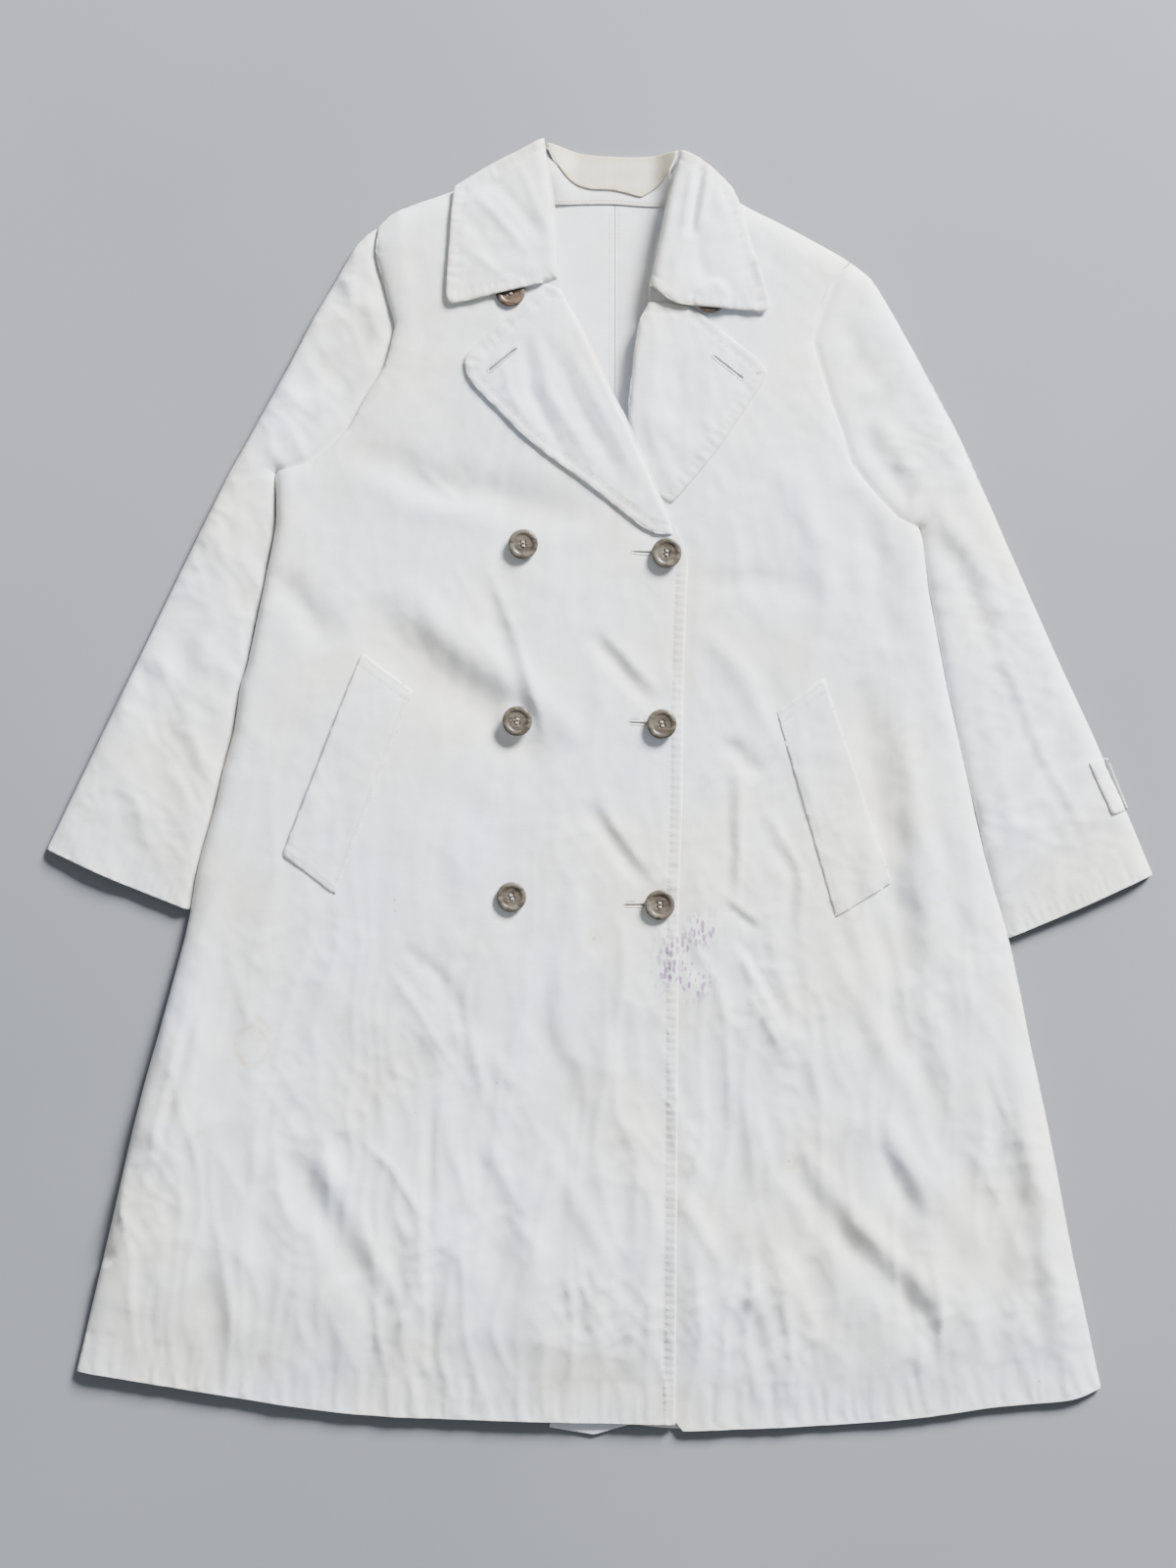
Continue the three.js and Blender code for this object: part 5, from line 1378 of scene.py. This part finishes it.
def button(name, ctr, r, z0, thick, mat, turn, hole_r=1.15, pitch=2.15):
    cx, cy = ctr
    hs = [circle(cx + pitch * math.cos(math.radians(turn + 45 + 90 * k)) * 1.0, cy + pitch * math.sin(math.radians(turn + 45 + 90 * k)), hole_r, 14) for k in range(4)]

    def zt(x, y):
        q = np.hypot(x - cx, y - cy)
        t = q / r
        dish = 0.62 * thick + 0.10 * thick * (t / 0.62) ** 2
        rimz = thick - 0.16 * thick * ((t - 0.83) / 0.17) ** 2 * (t > 0.83)
        k = smooth((t - 0.60) / 0.14)
        z = dish * (1 - k) + rimz * k
        z = z - 0.34 * thick * (1 - np.sqrt(np.clip(1 - np.clip((t - 0.90) / 0.10, 0, 1) ** 2, 0, 1)))
        z += 0.05 * noise(x / 4.0, y / 4.0, 151)
        return z0 + z

    def zb(x, y):
        t = np.hypot(x - cx, y - cy) / r
        return z0 + 0.30 * thick * (1 - np.sqrt(np.clip(1 - np.clip((t - 0.86) / 0.14, 0, 1) ** 2, 0, 1))) + 0.0 * x

    ob = solid_plate(name + "_horn", circle(cx, cy, r, 72), hs, zt, zb, 0.95, (0.25, 0.6, 1.1, 1.8), mat)
    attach(ob, name)
    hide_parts(name)
    # sewing thread: two bars of three strands, one across each pair of holes
    runs = []
    for pair in ((0, 1), (3, 2)):
        p = [hs[k].mean(0) for k in pair]
        d = (p[1] - p[0]) / np.hypot(*(p[1] - p[0]))
        n = np.array([-d[1], d[0]])
        for o in (-0.55, 0.0, 0.55):
            a, b = p[0] + n * o, p[1] + n * o
            path = []
            for t in np.linspace(0, 1, 11):
                c = a * (1 - t) + b * t
                z = z0 + 0.62 * thick + 0.5 - 2.6 * max(0, abs(t - 0.5) - 0.36) / 0.14 * 0.75 + 0.14 * (1 - abs(o) / 0.55)
                path.append((c[0], c[1], z))
            runs.append(path)
    th = tubes(name + "_thread", runs, 0.29, BUTTON_THREAD)
    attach(th, name)
    return ob


def tubes(name, runs, radius, mat, sides=6):
    V, T = [], []
    for run in runs:
        p = np.asarray(run, float)
        tdir = np.gradient(p, axis=0)
        tdir /= np.maximum(np.linalg.norm(tdir, axis=1), 1e-9)[:, None]
        n0 = len(V)
        for i, c in enumerate(p):
            s = np.cross(tdir[i], (0, 0, 1.0))
            if np.linalg.norm(s) < 0.05:
                s = np.array((1.0, 0, 0))
            s /= np.linalg.norm(s)
            u = np.cross(s, tdir[i])
            for a in np.linspace(0, 2 * math.pi, sides, endpoint=False):
                V.append(c + (s * math.cos(a) + u * math.sin(a)) * radius)
        m = len(p)
        for i in range(m - 1):
            for k in range(sides):
                a, b = n0 + i * sides + k, n0 + i * sides + (k + 1) % sides
                T.append((a, b, b + sides))
                T.append((a, b + sides, a + sides))
        c0, c1 = len(V), len(V) + 1
        V.append(p[0])
        V.append(p[-1])
        for k in range(sides):
            T.append((c0, n0 + (k + 1) % sides, n0 + k))
            T.append((c1, n0 + (m - 1) * sides + k, n0 + (m - 1) * sides + (k + 1) % sides))
    ob = mesh_from(name, np.array(V) / 1000.0, np.array(T))
    ob.data.materials.append(mat)
    return ob


for i, (c, turn) in enumerate(zip(BTN_L, (8, -14, 21))):
    button("right_button_%d" % (i + 1), c, 12.3, 19.25, 3.3, HORN, turn)
for i, (c, turn) in enumerate(zip(BTN_R, (-6, 17, 3))):
    button("left_button_%d" % (i + 1), c, 12.3, 19.25, 3.3, HORN, turn)
button("right_collar_button", (-72.8, 405.2), 12.0, 17.95, 2.9, DARK_HORN, 12)
button("left_collar_button", (90.4, 400.4), 12.0, 14.95, 2.9, DARK_HORN, -9)

# thread shanks: yarn wound round under each front button
for i in range(3):
    for side, ctrs, zb in (("right", BTN_L, 16.2), ("left", BTN_R, 13.4)):
        cx, cy = ctrs[i]
        run = []
        turns = 5 if side == "right" else 9
        for k in range(turns * 12 + 1):
            a = 2 * math.pi * k / 12
            t = k / (turns * 12)
            run.append((cx + 1.05 * math.cos(a), cy + 1.05 * math.sin(a), zb + (19.35 - zb) * t))
        core = [(cx, cy, zb - 0.2), (cx + 0.01, cy, (zb + 19.3) / 2), (cx, cy, 19.3)]
        ob = tubes(side + "_shank_yarn_%d" % (i + 1), [run], 0.33, BUTTON_THREAD, 6)
        ob2 = tubes(side + "_shank_core_%d" % (i + 1), [core], 0.85, BUTTON_THREAD, 10)
        for o in (ob, ob2):
            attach(o, "root")
        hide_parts(side + "_button_shank_%d" % (i + 1))


# ------------------------------------------------- buttonholes and stitching
def whip(name, slit_loop, zf, lift, mat, reach=1.7, pitch=0.6):
    """Worked edge: close thread bars all round a slit."""
    loop = resample(slit_loop, pitch, True)
    ctr = slit_loop.mean(0)
    t = np.roll(loop, -1, 0) - np.roll(loop, 1, 0)
    t /= np.maximum(np.hypot(t[:, 0], t[:, 1]), 1e-9)[:, None]
    n = np.stack([t[:, 1], -t[:, 0]], 1)
    area = 0.5 * np.sum(loop[:, 0] * np.roll(loop[:, 1], -1) - np.roll(loop[:, 0], -1) * loop[:, 1])
    if area < 0:
        n = -n
    runs = []
    for k, (p, m) in enumerate(zip(loop, n)):
        r = reach * (0.9 + 0.2 * ((k * 7919) % 13) / 13.0)
        a = p + m * 0.16
        b = p + m * r
        q = np.array([a, a + (b - a) * 0.3, a + (b - a) * 0.7, b])
        z = zf(q[:, 0], q[:, 1]) + lift
        z = z + np.array([-0.35, 0.22, 0.2, -0.22])
        runs.append(np.concatenate([q, z[:, None]], 1))
    return tubes(name, runs, 0.29, mat, 5)


for i, s in enumerate(R_SLITS):
    ob = whip("right_buttonhole_%d" % (i + 1), s, z_right, 0.45, HOLE_THREAD)
    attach(ob, "root")
ob = whip("right_lapel_buttonhole", R_LAP_BTN, lambda x, y: z_right_lapel(x, y, 1.0), 0.38, HOLE_THREAD, 1.6)
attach(ob, "right_lapel")
ob = whip("left_lapel_buttonhole", L_LAP_BTN, lambda x, y: z_left_lapel(x, y, 1.0), 0.38, HOLE_THREAD, 1.6)
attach(ob, "left_lapel")


def clip_run(line, poly, margin=1.2):
    line = np.asarray(line, float)
    ok = inside(line[:, 0], line[:, 1], poly) & (dist(line[:, 0], line[:, 1], np.vstack([poly, poly[:1]]))[0] > margin)
    runs, cur = [], []
    for p, k in zip(line, ok):
        if k:
            cur.append(p)
        elif len(cur) > 3:
            runs.append(np.array(cur))
            cur = []
        else:
            cur = []
    if len(cur) > 3:
        runs.append(np.array(cur))
    return runs


def inner(edge, d, poly, step=1.5):
    """The line d inside a sheet's edge."""
    e = resample(edge, step)
    for sgn in (1, -1):
        q = shift(e, sgn * d)
        m = q[len(q) // 2]
        if inside(np.array([m[0]]), np.array([m[1]]), poly)[0]:
            return q
    return shift(e, d)


def sew(name, lines, zf, body, thick=0.9, slot_name="cotton_shell", avoid=(), blend=None, lift=0.08):
    runs = []
    for ln in lines:
        if len(ln) < 4:
            continue
        z = zf(ln[:, 0], ln[:, 1]) + thick / 2 + lift
        runs.append(np.concatenate([ln, z[:, None]], 1))
    ob = stitches(name, runs, THREAD)
    if blend:
        blend(ob)
    else:
        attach(ob, body)
    return ob


fe = inner(FRONT_EDGE, 8.9, right_front_line)
sew("right_front_edge_stitches", clip_run(fe, right_front_line, 2.0), z_right, "root", blend=corner_blend)
sew("right_lapel_stitches", clip_run(inner(R_LAP_OUT, 7.2, r_lap_line), r_lap_line, 5.5), lambda x, y: z_right_lapel(x, y, 1.0), "right_lapel", 0.75)
ob = sew("left_lapel_stitches", clip_run(inner(L_LAP_OUT, 7.2, l_lap_line), l_lap_line, 5.5), lambda x, y: z_left_lapel(x, y, 1.0), None, 0.75, blend=lapel_blend)
sew("right_collar_stitches", clip_run(inner(R_LEAF_OUT, 8.0, r_leaf_line), r_leaf_line, 6.5), lambda x, y: z_rleaf(x, y, 1.0), "right_collar", 0.75)
sew("left_collar_stitches", clip_run(inner(L_LEAF_OUT, 8.0, l_leaf_line), l_leaf_line, 6.5), lambda x, y: z_lleaf(x, y, 1.0), "left_collar", 0.75)
for side, q, z in (("right", rq, z_rw), ("left", lq, z_lw)):
    rows = []
    for t0 in (0.014, 0.052):
        rows.append(resample([quad_point(q, 0.06, t0), quad_point(q, 0.97, t0)], 1.5))
        rows.append(resample([quad_point(q, 0.06, 1 - t0), quad_point(q, 0.97, 1 - t0)], 1.5))
    rows.append(resample([quad_point(q, 0.94, 0.02), quad_point(q, 0.94, 0.98)], 1.5))
    sew(side + "_welt_stitches", rows, z, "root", 1.5)
sew("left_tab_stitches", [resample([(403.2, 18.8), (415.2, 22.8)], 1.4), resample([(415.2, 22.8), (430.4, -14.8)], 1.4), resample([(430.4, -14.8), (420, -18.8)], 1.4), resample([(420, -18.8), (403.2, 18.8)], 1.4)], z_tab, "left_sleeve", 1.1)
sew("back_centre_stitches", [C([(16, 474.8), (16, 380.4), (16, 268.4)], 1.6), C([(8, 474.8), (8, 380.4), (8, 268.4)], 1.6)], z_back, "root", 0.8)
sew("neck_band_stitches", [C([(-35.2, 482.8), (-9.6, 483.6), (12, 483.6), (34.4, 482), (50.4, 481.2)], 1.6)], lambda x, y: z_back(x, y) + 1.1 + neck_rise(x, y), "root", 0.7)

# ------------------------------------------------------- floor, light, camera
bpy.ops.mesh.primitive_plane_add(size=14, location=(0, 0, -0.0006))
floor = bpy.context.object
floor.name = "floor"
m, nt, bs = node_tree("floor_paint")
tc = N(nt, "ShaderNodeTexCoord").outputs["Object"]
n = N(nt, "ShaderNodeTexNoise", i_Scale=1.4, i_Detail=3.0)
nt.links.new(tc, n.inputs["Vector"])
nt.links.new(mix_color(nt, ramp(nt, n.outputs[0], 0.3, 0.7), FLOOR_A, FLOOR_B), bs.inputs["Base Color"])
bs.inputs["Roughness"].default_value = 0.9
bs.inputs["Specular IOR Level"].default_value = 0.15
floor.data.materials.append(m)

world = bpy.data.worlds.new("studio")
bpy.context.scene.world = world
world.use_nodes = True
world.node_tree.nodes["Background"].inputs[0].default_value = (0.86, 0.93, 1.0, 1.0)
world.node_tree.nodes["Background"].inputs[1].default_value = WORLD


def area_light(name, loc, aim, size, power, color):
    d = bpy.data.lights.new(name, "AREA")
    d.shape = "RECTANGLE"
    d.size, d.size_y = size
    d.energy = power
    d.color = color
    o = bpy.data.objects.new(name, d)
    o.location = loc
    o.rotation_euler = (Vector(aim) - Vector(loc)).to_track_quat("-Z", "Y").to_euler()
    COL.objects.link(o)
    return o


area_light("key", (3.0, 4.2, 2.6), (0, 0, 0), (2.0, 1.8), KEY, (0.955, 0.975, 1.0))
area_light("fill", (-2.0, -0.4, 1.6), (0, 0, 0), (1.8, 1.8), FILL, (0.92, 0.96, 1.0))

cam = bpy.data.cameras.new("view")
cam.sensor_fit = "VERTICAL"
cam.sensor_height = 36.0
cam.lens = 56.25
co = bpy.data.objects.new("view", cam)
co.location = (-0.0096, 0.0044, 2.0 + 0.014)
co.rotation_euler = (0, 0, 0)
COL.objects.link(co)
bpy.context.scene.camera = co

bpy.context.view_layer.update()
